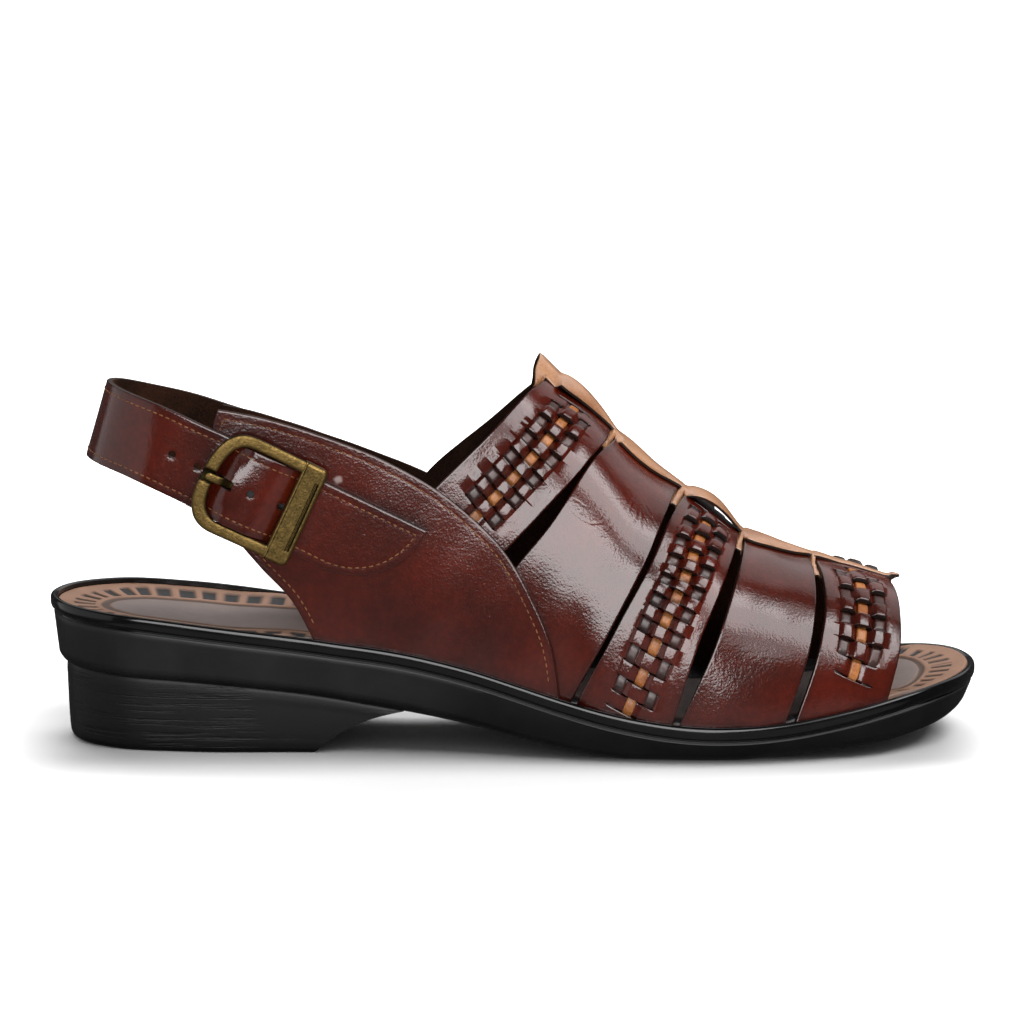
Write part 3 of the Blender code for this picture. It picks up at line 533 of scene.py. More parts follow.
sole_wall = sole_finish("moulded polyurethane, satin", "#0e0e0f", "#161617", 0.42, 0.03, 0.3)
sole_bead = sole_finish("moulded polyurethane, polished", "#0a0a0b", "#101011", 0.12, 0.005, 0.35)

# %% Sole unit
# Side of the sole at the tread: inset, more inset under the ball, rise from the underside
WALL_FOOT = ((5.2, 6.8, 0.0), (4.3, 5.4, 0.12), (3.6, 4.4, 0.6), (3.0, 3.2, 1.35), (2.5, 2.2, 2.3))
# And up its groove and bead to the tray: inset, rise from the top of the rim
WALL_HEAD = (
    (1.05, -5.5), (1.15, -5.25), (1.5, -4.95), (1.6, -4.75), (1.45, -4.5), (0.95, -4.25),
    (0.6, -4.0), (0.28, -3.6), (0.08, -3.1), (0.0, -2.5), (0.0, -1.5), (0.03, -1.0), (0.14, -0.6),
    (0.34, -0.28), (0.62, -0.08), (1.0, 0.0), (1.7, -0.02), (LIP_WIDTH, -0.3),
    (LIP_WIDTH, -TRAY_DEPTH),
)
BEAD_STARTS = 2          # row of this table from which the sole is polished
DISH = 1.9               # depth of the footbed's middle under its edges

foot = [rim_ring(lambda x: inset + under_ball * under_foot(x), lambda x: underside(x) + rise)
        for inset, under_ball, rise in WALL_FOOT]
head = [rim_ring(inset, lambda x: rim_top(x) + rise) for inset, rise in WALL_HEAD]
wall = [lerp(foot[-1], head[0], t) for t in np.linspace(0.0, 1.0, 9)[1:-1]]
levels = np.stack(foot + wall + head)
bead_row = len(foot + wall) + BEAD_STARTS
inset, under_ball, _ = WALL_FOOT[0]
tread = deck(lambda x: inset + under_ball * under_foot(x), underside, across=4)
tray = deck(LIP_WIDTH, lambda x: rim_top(x) - TRAY_DEPTH, across=16, dish=DISH)
make_piece("sole_unit", [(levels[:bead_row + 1], UNCUT, 0), (levels[bead_row:], UNCUT, 1),
                         (tread, UNCUT, 0), (tray, UNCUT, 0)],
           [sole_wall, sole_bead], replaced=["outsole"])

# %% [markdown]
# ## Heel block
#
# The block under the heel is a separate moulding, stepped in by a few millimetres. Its mould was
# cut with a plane, and the fine level lines that this left give it the look of stacked leather. Its
# front slopes back to the floor in a hollow curve.

# %% Heel block
BREAST_FOOT_X, BREAST_TOP_X, BREAST_HOLLOW = -62.0, -34.0, 2.5
# Side of the block, from the floor up: share of the height, inset
HEEL_SIDE = np.array([(0.0, 7.4), (0.015, 6.7), (0.05, 6.1), (0.12, 5.75), (0.25, 5.5), (0.5, 5.2),
                      (0.75, 5.0), (0.9, 4.9), (0.97, 5.05), (1.0, 5.3)])


def heel_finish():
    """Moulded polyurethane with level tool lines, darkened in their depth as painted shade."""
    made = Finish("moulded polyurethane, tool lines", Roughness=0.46, IOR=1.5,
                  Specular_IOR_Level=0.2)
    squeezed = add(made.tree, "Mapping", {"Vector": made.place, "Scale": (26.0, 26.0, 900.0)})
    lines = made.noise(1.0, 4.0, 0.65, Vector=squeezed.outputs[0], Distortion=0.35)
    where = made.ramp(made.noise(45.0, 3.0), 0.44, 0.58)
    cut = made.fade(where, 1.0, made.ramp(lines, 0.34, 0.50))
    # The lines are darker where they sink: painted shade in the grooves
    made.set(Base_Color=made.blend(cut, "#050505", "#131314"),
             Normal=made.bump(cut, 0.1, 0.8, made.bump(made.noise(2000.0), 0.03, 0.6)))
    return made.material


def heel_level(inset, part):
    """Return one level ring of the block, from its breast round the back of the heel."""
    front = BREAST_FOOT_X + (BREAST_TOP_X - BREAST_FOOT_X) * part
    front -= BREAST_HOLLOW * math.sin(math.pi * part)
    ring = []
    for side in (OUTER, INNER):
        dense = np.linspace(0.0, 1.0, 1200)
        reach = np.interp(front, rim_line(side, inset, dense)[:, 0], dense)
        share = reach * (1.0 - np.cos(np.linspace(0.0, math.pi / 2.0, 81)))
        line = rim_line(side, inset, share)
        ring.append(line if side == INNER else line[::-1])
    line = np.vstack([ring[0], ring[1]])
    return np.column_stack([line, part * (underside(line[:, 0]) - 0.05)])


parts = np.concatenate([[0.0, 0.005, 0.015, 0.03], np.linspace(0.05, 0.95, 34),
                        [0.965, 0.98, 0.99, 1.0]])
levels = np.stack([heel_level(through(HEEL_SIDE, 1, part), part) for part in parts])
half = levels.shape[1] // 2
breast = lerp(levels[:, 0], levels[:, -1], np.linspace(0.0, 1.0, 13)[:, None, None])
heel_floor = np.stack([levels[0, :half][::-1], levels[0, half:]])
heel_seat = np.stack([levels[-1, :half][::-1], levels[-1, half:]])
make_piece("heel_block", [(levels, UNCUT, 0), (breast, UNCUT, 0), (heel_floor, UNCUT, 0),
                          (heel_seat, UNCUT, 0)], [heel_finish()], replaced=["heel"],
           sharp=32.0)

# %% [markdown]
# ## Footbed
#
# The footbed is a board covered with thin brown leather, a little cupped, so that its edges rise to
# the rim of the sole. A hot plate has pressed a pattern into it: dark blocks along the sides that
# turn into narrow rays round the heel and the toe, and a smooth middle panel inside a groove. The
# pressed shapes are sunk in the mesh. Each point knows how far in from the edge it lies and how far
# it is along the edge, and the same two numbers place the dark stain of the pattern in the material.
# Along the sides inside the upper, the footbed is also darkened as painted shade.

# %% Footbed shape
BLOCK_NEAR, BLOCK_FAR = 3.4, 11.4     # the pressed blocks, from the edge inwards
GROOVE_FROM, PANEL_FROM = 13.8, 16.0  # and the groove round the smooth middle panel
BLOCK_PITCH = 7.6
HEEL_RAYS, TOE_RAYS = (-132.0, -116.0), (104.0, 116.0)    # x where the blocks turn into rays
SHADED_SIDES_X = (-62.0, -54.0, 110.0, 117.0)    # painted shade darkens the sides between these, inside the upper
PRESSED = 0.5
EDGE_ROUND = 0.6


def footbed_inset(x):
    """Inset of the footbed's edge: up to the lip at heel and toe, inside the upper between."""
    return LIP_WIDTH + 0.1 + 3.6 * between(x, -76.0, -66.0, 122.0, 130.0)


def footbed_edge(x):
    """Height of the footbed's edge: a little under the rim at the heel, and level with it on."""
    return rim_top(x) - 1.4 + 1.6 * ease(x, -92.0, -66.0)


def cupped(d):
    """Sink of the footbed at a distance in from its edge."""
    return DISH * (1.0 - np.exp(-d / 8.0))


def pressed_mask(d, run, x):
    """Return how far the pattern is pressed in, 0 to 1, by distance from the edge and along it."""
    rays = 1.0 - ease(x, *HEEL_RAYS) + ease(x, *TOE_RAYS)
    near = BLOCK_NEAR + 1.6 * rays
    in_row = between(d, near - 0.3, near + 0.3, BLOCK_FAR - 0.3, BLOCK_FAR + 0.3)
    block = np.abs(np.mod(run / BLOCK_PITCH, 1.0) - 0.5) * BLOCK_PITCH
    marks = 1.0 - ease(block, 2.1 - 0.9 * rays, 2.9 - 0.9 * rays)
    groove = between(d, GROOVE_FROM - 0.5, GROOVE_FROM, PANEL_FROM - 0.4, PANEL_FROM + 0.6)
    return np.clip(in_row * marks + 0.8 * groove, 0.0, 1.0)


fine_share = crowded_ends(521)
depths = np.concatenate([[0.0, 0.25, 0.6, 1.2, 2.2, 3.4], np.arange(4.0, 17.6, 0.42)])


def footbed_ring(depth):
    """Return a ring of the footbed this far in from its edge: points, how pressed or darkened as painted
    shade, how far in.
    """
    halves = []
    for side in (OUTER, INNER):
        line = rim_line(side, lambda x: footbed_inset(x) + depth, fine_share)
        x = line[:, 0]
        run = fine_share * travelled(RIM_HALVES[side][0])[-1]
        from_lip = depth + footbed_inset(x) - LIP_WIDTH - 0.1
        mask = pressed_mask(from_lip, run, x)
        z = footbed_edge(x) - cupped(depth) - PRESSED * mask
        if depth < EDGE_ROUND:
            z -= 0.5 * (1.0 - depth / EDGE_ROUND)**2
        # Painted shade: the footbed's sides inside the upper are darkened as if stained
        painted_shade_at_sides = between(x, *SHADED_SIDES_X) * (1.0 - ease(depth, 11.5, 13.0))
        halves.append((np.column_stack([line, z]), np.maximum(mask, painted_shade_at_sides), from_lip))
    return [np.concatenate([outer, inner[::-1]]) for outer, inner in zip(*halves)]


rings, pressed_and_shade, insets = map(np.stack, zip(*(footbed_ring(depth) for depth in depths)))
half = len(fine_share)
t = np.linspace(0.0, 1.0, 11)[:, None, None]
panel = lerp(rings[-1, :half], rings[-1, half:][::-1], t)
wide = np.linalg.norm(panel[-1] - panel[0], axis=-1)
bowl = np.minimum(wide / 60.0, 1.0) * (DISH - cupped(depths[-1]))
panel[..., 2] -= bowl * arched(t[..., 0])
under = rings[0].copy()
under[:, 2] -= 1.6
base = lerp(under[:half], under[half:][::-1], t)
base[..., 2] -= (DISH + 0.6) * arched(t[..., 0])**0.6 * (wide > 1.0)


def footbed_finish():
    """Vegetable-tanned leather: brown, stained dark where it was pressed, darkened as painted shade
    along the sides inside the upper, a satin middle panel.
    """
    made = Finish("pressed footbed leather", IOR=1.5)
    mottle = made.noise(160.0, 6.0, 0.62)
    in_panel = made.ramp(made.written("edge_mm"), PANEL_FROM - 0.4, PANEL_FROM + 1.2)
    ground = made.blend(in_panel, made.blend(mottle, "#77513c", "#a27b62"),
                        made.blend(made.noise(28.0, 3.0), "#5c524f", "#8c7b75"))
    # The dark colour is the stain of the pressed pattern, and painted shade along the sides inside the
    # upper
    made.set(Base_Color=made.blend(made.written("pressed"), ground, "#1d1c1e"),
             Roughness=made.ramp(mottle, 0.0, 1.0, 0.42, 0.66),
             Normal=made.bump(made.noise(1400.0, 3.0), 0.06, 0.7))
    return made.material


footbed = make_piece("footbed", [(rings, insets, 0), (panel, depths[-1] + 4.0, 0),
                                 (np.stack([rings[0], under]), 0.0, 0), (base, 0.0, 0)],
                     [footbed_finish()], replaced=["insole"], sharp=60.0)


def give_mask(piece, name, points, values, reach=0.02):
    """Write values onto the piece's points from the grid they were made from."""
    points, values = points.reshape(-1, 3), values.reshape(-1)
    tree = KDTree(len(points))
    for number, point in enumerate(points):
        tree.insert(point * MM, number)
    tree.balance()
    found = np.zeros(len(piece.data.vertices), np.float32)
    for vert in piece.data.vertices:
        _, number, gap = tree.find(vert.co)
        if gap < reach * MM:
            found[vert.index] = values[number]
    piece.data.attributes.new(name, "FLOAT", "POINT").data.foreach_set("value", found)


give_mask(footbed, "pressed", rings, pressed_and_shade)

# %% [markdown]
# ## The last
#
# A shoemaker pulls the upper over a last, the wooden form of a foot. The same idea works here. The
# last is charted once: a place along the shoe and a share of the way down its side give a point and
# the direction straight out of it. Every band, quarter, lace and stitch is then drawn flat on that
# chart, and is lifted off the last by the thickness of what lies under it.

# %% Chart of the last
BAND_LEATHER = 1.8
QUARTER_FACE = 3.5       # outer face of a quarter over the last
# x, crest y, crest z, fullness of the side, belly
LAST = np.array([
    (-112.0, 0.0, 240.0, 0.95, 2.5), (-60.0, 1.0, 206.0, 0.95, 2.5), (-30.0, 3.0, 165.0, 0.95, 2.5),
    (-8.0, 5.0, 131.3, 0.93, 2.0), (8.0, 6.0, 114.2, 0.92, 1.5), (24.0, 7.0, 100.1, 0.90, 1.1),
    (42.0, 8.0, 81.6, 0.88, 2.2), (52.0, 8.3, 75.0, 0.87, 2.0), (60.0, 8.5, 69.4, 0.85, 1.7),
    (70.0, 8.8, 61.2, 0.84, 1.4), (80.0, 9.0, 56.9, 0.83, 1.1), (100.0, 9.0, 51.2, 0.82, 0.6),
    (124.0, 9.0, 43.9, 0.82, 0.0),
])


def stack_inset(x, start=15.5, end=27.0):
    """Inset of the last's edge from the rim: lip, clearance and the leather inside it.

    That leather is a quarter up to 'start', and a thinner band from 'end' on.
    """
    stack = QUARTER_FACE + (BAND_LEATHER - QUARTER_FACE) * ease(x, start, end)
    return LIP_WIDTH + GAP + stack


def girth(x, side, samples=129):
    """Return one side of the last's sections at every x, from crest to sole: length, y, z."""
    angle = np.linspace(0.0, math.pi / 2.0, samples)
    crest_y, crest_z, fullness, belly = (through(LAST, column, x)[:, None] for column in
                                         (1, 2, 3, 4))
    foot_y = rim_y(x, side, stack_inset)[:, None]
    side_y = rim_y(x, side, lambda at: stack_inset(at, -25.0, 60.0))[:, None]
    foot_z = (rim_top(x) - TRAY_DEPTH + 2.0 * GAP)[:, None]
    y = crest_y + (side_y - crest_y) * np.sin(angle)**fullness
    y += (foot_y - side_y) * np.sin(angle)**20.0
    y += side * belly * np.sin(2.0 * angle)**2
    z = foot_z + (crest_z - foot_z) * np.cos(angle)**fullness
    return travelled(np.stack([y, z], axis=-1).transpose(1, 0, 2)).T, y, z


def chart_last(places=473, shares=257):
    """Chart the last: points and outward normals by x and by share of the girth, -1 to 1."""
    x = np.linspace(LAST[0, 0], LAST[-1, 0], places)
    share = np.linspace(-1.0, 1.0, shares)
    points = np.empty((places, shares, 3))
    points[..., 0] = x[:, None]
    reach = {}
    for side in (OUTER, INNER):
        length, y, z = girth(x, side)
        reach[side] = length[:, -1]
        half = share * side >= 0.0
        for row in range(places):
            at = abs(share[half]) * length[row, -1]
            points[row, half, 1] = np.interp(at, length[row], y[row])
            points[row, half, 2] = np.interp(at, length[row], z[row])
    normal = unit(np.cross(np.gradient(points, axis=0), np.gradient(points, axis=1)))
    return x, share, points, normal, reach


CHART_X, CHART_SHARE, CHART_POINTS, CHART_NORMALS, REACH = chart_last()


def cell(at, places):
    """Return the cells of an even grid that hold the values, and how far into each they lie."""
    i = (at - places[0]) / (places[1] - places[0])
    row = np.clip(i.astype(int), 0, len(places) - 2)
    return row, i - row


def slack(points):
    """Return the slight unevenness of hand-pulled leather at places on the last, in mm."""
    x, y, z = np.moveaxis(points, -1, 0)
    return (0.10 * np.sin(x / 5.1 + y / 7.3) * np.sin(z / 6.7 - y / 9.1)
            + 0.07 * np.sin(x / 3.1 - z / 4.3 + 1.0) * np.sin(y / 4.9 + 2.0))


def on_last(x, share, lift=0.0, soft=1.0):
    """Return points 'lift' off the last at x and a share of its girth: -1 outer edge, 0 crest.

    Leather is a little uneven, and 'soft' at 0 leaves that out for metal.
    """
    x, share, lift = np.broadcast_arrays(x, share, lift)
    (row, s), (column, t) = cell(x, CHART_X), cell(share, CHART_SHARE)
    point, normal = (
        lerp(lerp(chart[row, column], chart[row, column + 1], t[..., None]),
             lerp(chart[row + 1, column], chart[row + 1, column + 1], t[..., None]), s[..., None])
        for chart in (CHART_POINTS, CHART_NORMALS))
    return point + normal * (lift + soft * slack(point))[..., None]


def share_at(x, z, side):
    """Return the share of the girth where one side of the last reaches height z at x."""
    x, z = np.broadcast_arrays(np.asarray(x, float), np.asarray(z, float))
    flat_x, flat_z = x.reshape(-1), z.reshape(-1)
    half = CHART_SHARE * side >= 0.0
    shares = np.abs(CHART_SHARE[half])[::side]
    row, part_row = cell(flat_x, CHART_X)
    heights = CHART_POINTS[:, half, 2][:, ::side]
    height = lerp(heights[row], heights[row + 1], part_row[:, None])
    at = np.clip((height > flat_z[:, None]).sum(axis=1) - 1, 0, len(shares) - 2)
    pick = np.arange(len(at))
    top, bottom = height[pick, at], height[pick, at + 1]
    part = np.clip((top - flat_z) / (top - bottom), 0.0, 1.0)
    return (side * lerp(shares[at], shares[at + 1], part)).reshape(x.shape)


def share_of_width(x, width):
    """Return the share of the girth at a distance over the last from its crest."""
    x, width = np.broadcast_arrays(np.asarray(x, float), np.asarray(width, float))
    outer = np.interp(x, CHART_X, REACH[OUTER])
    inner = np.interp(x, CHART_X, REACH[INNER])
    return width / np.where(width < 0.0, outer, inner)


print("girth of the outer side at x 60, mm:", round(float(np.interp(60.0, CHART_X, REACH[OUTER])), 1))

# %% [markdown]
# ## Upper leather
#
# The upper is box calf: chrome-tanned, dyed red-brown through a spray that is darker at the edges,
# then burnished and given a thin glossy top coat. Three things make it look like calf and not like
# plastic. The colour drifts over a few centimetres. The gloss breaks up on a fine grain, drawn here
# with cells of 0.7 mm instead of the real 0.3 mm so that it shows. And creases run where the foot
# bends; those are in the mesh. Dielectric IOR 1.5 gives the base, and the coat the mirror on top.

# %% Finish of the upper leather
SCUFF_GLINT_PLACE = (-54.0, -31.0, 86.8)    # a rubbed spot beside the buckle, painted pale as a highlight


def burnished_calf(name, deep, warm):
    """Box calf under a gloss coat, with drifting colour and a fine grain that breaks the gloss."""
    made = Finish(name, IOR=1.5, Coat_Weight=1.0, Coat_Roughness=0.15, Coat_IOR=1.5,
                  Specular_IOR_Level=0.02)
    speck = made.noise(520.0, 3.0)
    dye = made.blend(made.ramp(made.noise(30.0, 4.0, 0.55), 0.28, 0.72), deep, warm)
    burnish = made.ramp(made.written("edge_mm"), 0.0, 2.2, 0.6, 1.0)
    shade = made.maths("MULTIPLY", made.ramp(speck, 0.35, 0.7, 0.85, 1.1), burnish)
    toned = made.blend(1.0, dye, shade, blend_type="MULTIPLY")
    # A painted highlight: a scuff beside the buckle is blended to the pale colour of a highlight
    gone = add(made.tree, "VectorMath", {0: made.place, 1: [c * MM for c in SCUFF_GLINT_PLACE]},
               operation="DISTANCE").outputs["Value"]
    rubbed = made.ramp(gone, 0.5 * MM, 2.4 * MM, 1.0, 0.0)
    scuff_painted_glint = made.ramp(made.maths("MULTIPLY", rubbed, speck), 0.2, 0.45)

    grain = add(made.tree, "TexVoronoi", {"Vector": made.place, "Scale": 1500.0},
                feature="SMOOTH_F1").outputs["Distance"]
    pull = made.bump(made.noise(60.0), 0.4, 0.18)
    bump = made.bump(grain, 0.06, 0.6, made.bump(made.noise(700.0, 4.0, 0.6), 0.1, 0.55, pull))
    made.set(Base_Color=made.blend(scuff_painted_glint, toned, "#b39a95"), Normal=bump, Coat_Normal=bump,
             Roughness=made.ramp(speck, 0.0, 1.0, 0.42, 0.6))
    return made.material


def plain_leather(name, dark, light, roughness, fibre_mm, depth_mm, wax=0.0, gloss=0.3):
    """Two-tone fibre of a given size, raised by a given depth, under some share of wax."""
    made = Finish(name, Coat_Weight=wax, Coat_Roughness=0.32, Specular_IOR_Level=gloss)
    fibre = made.noise(1.0 / (fibre_mm * MM), 5.0, 0.65)
    tone = made.ramp(made.maths("ADD", fibre, made.noise(70.0, 3.0)), 0.75, 1.25)
    made.set(Base_Color=made.blend(tone, dark, light),
             Roughness=made.ramp(fibre, 0.0, 1.0, roughness - 0.1, roughness + 0.1),
             Normal=made.bump(fibre, depth_mm, 0.7))
    return made.material


calf = burnished_calf("burnished box calf", "#380d04", "#631906")
cut_edge = plain_leather("inked cut edge", "#0d0705", "#24140e", 0.5, 0.5, 0.05)
lining = plain_leather("suede lining", "#22120a", "#452a1c", 0.9, 0.6, 0.12, gloss=0.05)
tan_calf = plain_leather("natural tan calf", "#9c6540", "#cb9368", 0.36, 0.8, 0.04, wax=1.0)
tan_edge = plain_leather("inked edge of tan calf", "#1a0f09", "#38210f", 0.5, 0.5, 0.05)
tan_lace = plain_leather("tan lace", "#93501f", "#cb8040", 0.42, 0.9, 0.06)
dark_lace = plain_leather("dark brown lace", "#28110c", "#4b271e", 0.42, 0.9, 0.08, wax=0.35)
upper_layers = (calf, cut_edge, lining)

# %% [markdown]
# ## Vamp bands
#
# Five bands cross the foot, and their cut edges run as smooth curves from the crest to the sole.
# A band is a sheet with real thickness. Its edges are beveled with a knife and rubbed round, so the
# face rolls over within a millimetre, and that roll catches a thin line of light.

# %% Tables and edges of the bands
BAND_SHARES = (0.0, 0.12, 0.3, 0.5, 0.7, 1.0)
# x of the rear edge and of the front edge at these shares of the girth
BAND_EDGES = (
    ((12.5, 7.0, -3.0, -16.3, -31.5, -51.5), (29.0, 28.0, 21.0, 8.0, -6.5, -25.5)),
    ((31.5, 29.3, 22.0, 12.0, -1.0, -18.0), (51.0, 49.2, 45.6, 39.7, 31.3, 17.0)),
    ((53.2, 51.6, 47.4, 41.3, 32.6, 19.0), (69.5, 69.0, 67.0, 63.0, 56.7, 48.2)),
    ((71.5, 71.3, 69.8, 66.6, 61.6, 50.0), (92.0, 92.7, 93.2, 92.7, 90.3, 82.4)),
    ((94.0, 94.8, 95.9, 95.7, 93.3, 85.6), (117.0, 118.3, 119.2, 119.2, 118.6, 114.0)),
)
BANDS = {f"band_{number}": np.column_stack([BAND_SHARES, rear, front])
         for number, (rear, front) in enumerate(BAND_EDGES, start=1)}
NEAR_EDGE = np.array([0.0, 0.10, 0.25, 0.45, 0.7, 1.0, 1.4])    # where points crowd, mm
NEAR_SEAM = np.concatenate([NEAR_EDGE, [1.9, 2.2, 2.5, 2.8, 3.1]])    # and where a seam runs too


def rolled(edge, depth=0.28, reach=0.5):
    """Drop of a face towards its cut edge: a quarter of an ellipse."""
    t = np.clip(np.asarray(edge, float) / reach, 0.0, 1.0)
    return depth * (1.0 - np.sqrt(np.maximum(1.0 - (1.0 - t)**2, 0.0)))


def across_band(width, inside):
    """Return places across a band in mm, crowded near both edges, with 'inside' between them."""
    width = np.asarray(width, float)[:, None]
    near = np.broadcast_to(NEAR_EDGE, (len(width), len(NEAR_EDGE)))
    even = np.linspace(0.0, 1.0, inside + 2)[1:-1]
    middle = near[:, -1:] + (width - 2.0 * near[:, -1:]) * even
    return np.concatenate([near, middle, width - near[:, ::-1]], axis=1)


def band_reach(edges, share):
    """Return x of a band's rear and front edge at shares of the girth, either side."""
    return through(edges, 1, abs(share)), through(edges, 2, abs(share))


def band_width(edges, share):
    """Width of a band over the last at shares of the girth, either side."""
    rear, front = (on_last(x, share) for x in band_reach(edges, share))
    return np.linalg.norm(front - rear, axis=-1)


def band_point(edges, share, part, lift):
    """Return points of a band at signed shares of the girth and parts of its width, 0 to 1."""
    rear, front = band_reach(edges, share)
    return on_last(rear + (front - rear) * part, share, lift)


# Creases of band 2 on the outer side, as places along it: share of the girth, part of its width
CREASES = (
    ((0.275, 0.56), (0.345, 0.57), (0.40, 0.53), (0.44, 0.52)),
    ((0.28, 0.60), (0.36, 0.64), (0.42, 0.67), (0.465, 0.66), (0.51, 0.63), (0.54, 0.60),
     (0.575, 0.46), (0.63, 0.38)),
    ((0.272, 0.66), (0.302, 0.77), (0.33, 0.87), (0.353, 0.93)),
    ((0.307, 0.67), (0.345, 0.73), (0.392, 0.73), (0.435, 0.73)),
    ((0.518, 0.66), (0.568, 0.67), (0.61, 0.71), (0.66, 0.79)),
    ((0.435, 0.04), (0.455, 0.18), (0.453, 0.37), (0.422, 0.47)),
    ((0.412, 0.06), (0.416, 0.14), (0.42, 0.22)),
)
FAN_FROM = (0.30, 0.62)          # where the fine wrinkles of the same bend spread out
CREASE_DEEP, WRINKLE_DEEP = 0.045, 0.035
CREASED_SIZE = np.array([110.0, 30.0])    # girth and width in mm that the creases are drawn for
random = np.random.default_rng(11)


def fan_of_wrinkles(count=17):
    """Return short wrinkles that spread from one place, each a little bent, as CREASES has them."""
    lines = []
    for turn in np.linspace(-1.15, 1.05, count) + random.normal(0.0, 0.05, count):
        start, length = random.uniform(0.01, 0.05), random.uniform(0.07, 0.15)
        line = []
        for t in np.linspace(0.0, 1.0, 4):
            gone = start + length * t
            bend = turn * (1.0 - 0.3 * t) + random.normal(0.0, 0.05)
            line.append((FAN_FROM[0] + gone * math.cos(bend), FAN_FROM[1] + 2.6 * gone * math.sin(bend)))
        lines.append(tuple(line))
    return lines


def crease_depth(share, part):
    """Depth of the creases at places on a band: narrow furrows between two soft lips."""
    depth = np.zeros_like(part)
    places = np.stack([-share, part], axis=-1) * CREASED_SIZE
    for lines, deep in ((CREASES, CREASE_DEEP), (fan_of_wrinkles(), WRINKLE_DEEP)):
        for line in lines:
            points = along_curve(np.array(line) * CREASED_SIZE, np.linspace(0.0, 1.0, 60))
            low, high = points.min(axis=0) - 2.0, points.max(axis=0) + 2.0
            near = np.all((places > low) & (places < high), axis=-1)
            gap = np.linalg.norm(places[near][:, None] - points[None], axis=-1)
            where = gap.argmin(axis=1) / (len(points) - 1)
            fade = np.minimum(1.0, 5.0 * np.minimum(where + 0.06, 1.06 - where))
            gap = gap.min(axis=1)
            furrow = bell(gap, 0.3) - 0.4 * bell(gap - 0.75, 0.4)
            depth[near] += deep * fade * furrow
    return depth


def make_band(name, share, inside, creased=False):
    """Make a plain band with rows at shares of the girth, from edge to edge of the sole."""
    edges = BANDS[name]
    width = band_width(edges, share)
    at = across_band(width, inside)
    part = at / width[:, None]
    edge = np.minimum(at, width[:, None] - at)
    share = np.broadcast_to(share[:, None], at.shape)
    height = BAND_LEATHER - rolled(edge)
    if creased:
        height = height - crease_depth(share, part)
    outer = band_point(edges, share, part, height)
    inner = band_point(edges, share, part, 0.15 * (edge < 0.01))
    return make_sheet(name, outer, inner, edge, upper_layers)


creased_rows = np.unique(np.concatenate([np.linspace(-1.0, 1.0, 61), np.linspace(-0.7, -0.24, 150)]))
make_band("band_2", creased_rows, 62, creased=True)
make_band("band_4", np.linspace(-1.0, 1.0, 141), 24)

# %% [markdown]
# ## Woven bands
#
# Bands 1, 3 and 5 are woven. The leather is slit across in rows, and three laces run along the band
# through the slits: a tan one in the middle and dark ones beside it. Each strip between two slits
# goes over one lace and under the next, and the row below does the opposite, as in a plain weave.
# Where a strip goes over, it stands up as a small rounded bridge with a shadow under its lower edge.
#
# An image of a weave on a flat band would do from far away, but here each bridge breaks the gloss.
# So every strip is modelled: the grid of the band is cut along the slits, each strip is lifted or
# pushed down over the laces, and the cut edges get their own walls.

# %% Weave of the bands
COLUMN_SPACING = 5.4
SLIT_REACH = 7.9         # half length of a slit
TURNS_AT = np.array([1.5, 4.0, 6.9, SLIT_REACH])    # where a strip starts and ends its turns
SLIT_MARGIN = 1.7        # leather that is always left between a slit and the band's edge
BRIDGE_UP, BRIDGE_DOWN = 1.25, 0.65
FLATTER_UP, FLATTER_DOWN = 0.74, 0.15    # share of this that is lost where a weave flattens
WOVEN_LEATHER = 1.5
SLIT_OPEN = 0.22         # half the width of a slit where a lace holds it open
WINDOW_COLUMNS = 39
# Shares of the girth where the middle lace shows, from the crest to the sole
LACE_SHOWS = {
    "band_1": (0.121, 0.209, 0.289, 0.367, 0.445, 0.525, 0.606),
    "band_3": (0.120, 0.223, 0.329, 0.416, 0.500, 0.570, 0.651, 0.741, 0.850, 0.948),
    "band_5": (0.079, 0.289, 0.485, 0.630, 0.792),
}
WEAVE_FLATTENS = {"band_1": (2.0, 3.0), "band_3": (0.66, 0.80), "band_5": (0.62, 0.9)}
STRIP_ROWS = np.array([-1.0, -0.9, -0.72, -0.4, 0.0, 0.4, 0.72, 0.9, 1.0])
NEAR_SLIT = np.array([1.0, 0.98, 0.94])
PLAIN_ROWS = np.unique(np.concatenate([np.linspace(-1.0, 1.0, 25), NEAR_SLIT, -NEAR_SLIT]))
WINDOW_MARGIN = np.concatenate([NEAR_EDGE, [2.2, 3.0]])
MARGIN_COLUMNS = len(WINDOW_MARGIN)


def weave_rows(name):
    """Return the slits of one side of a band as shares, and whether the lace shows between them."""
    shows = np.array(LACE_SHOWS[name])
    step = np.diff(shows)
    slits, lace = [shows[0] - step[0] / 4.0], []
    for number, place in enumerate(shows):
        after = step[number] if number < len(step) else step[-1]
        slits.append(place + after / 4.0)
        lace.append(True)
        if number < len(step):
            slits.append(place + after * 0.75)
            lace.append(False)
    return np.array(slits), lace


def lean_of_rows(edges, share):
    """Share gained across a band's width so that a row lies square to the band."""
    step = 0.004
    ahead, behind = (band_point(edges, share + d, 0.5, 0.0) for d in (step, -step))
    along = (ahead - behind) / (2.0 * step)
    width = band_point(edges, share, 1.0, 0.0) - band_point(edges, share, 0.0, 0.0)
    return -np.sum(width * along, axis=-1) / np.sum(along * along, axis=-1)


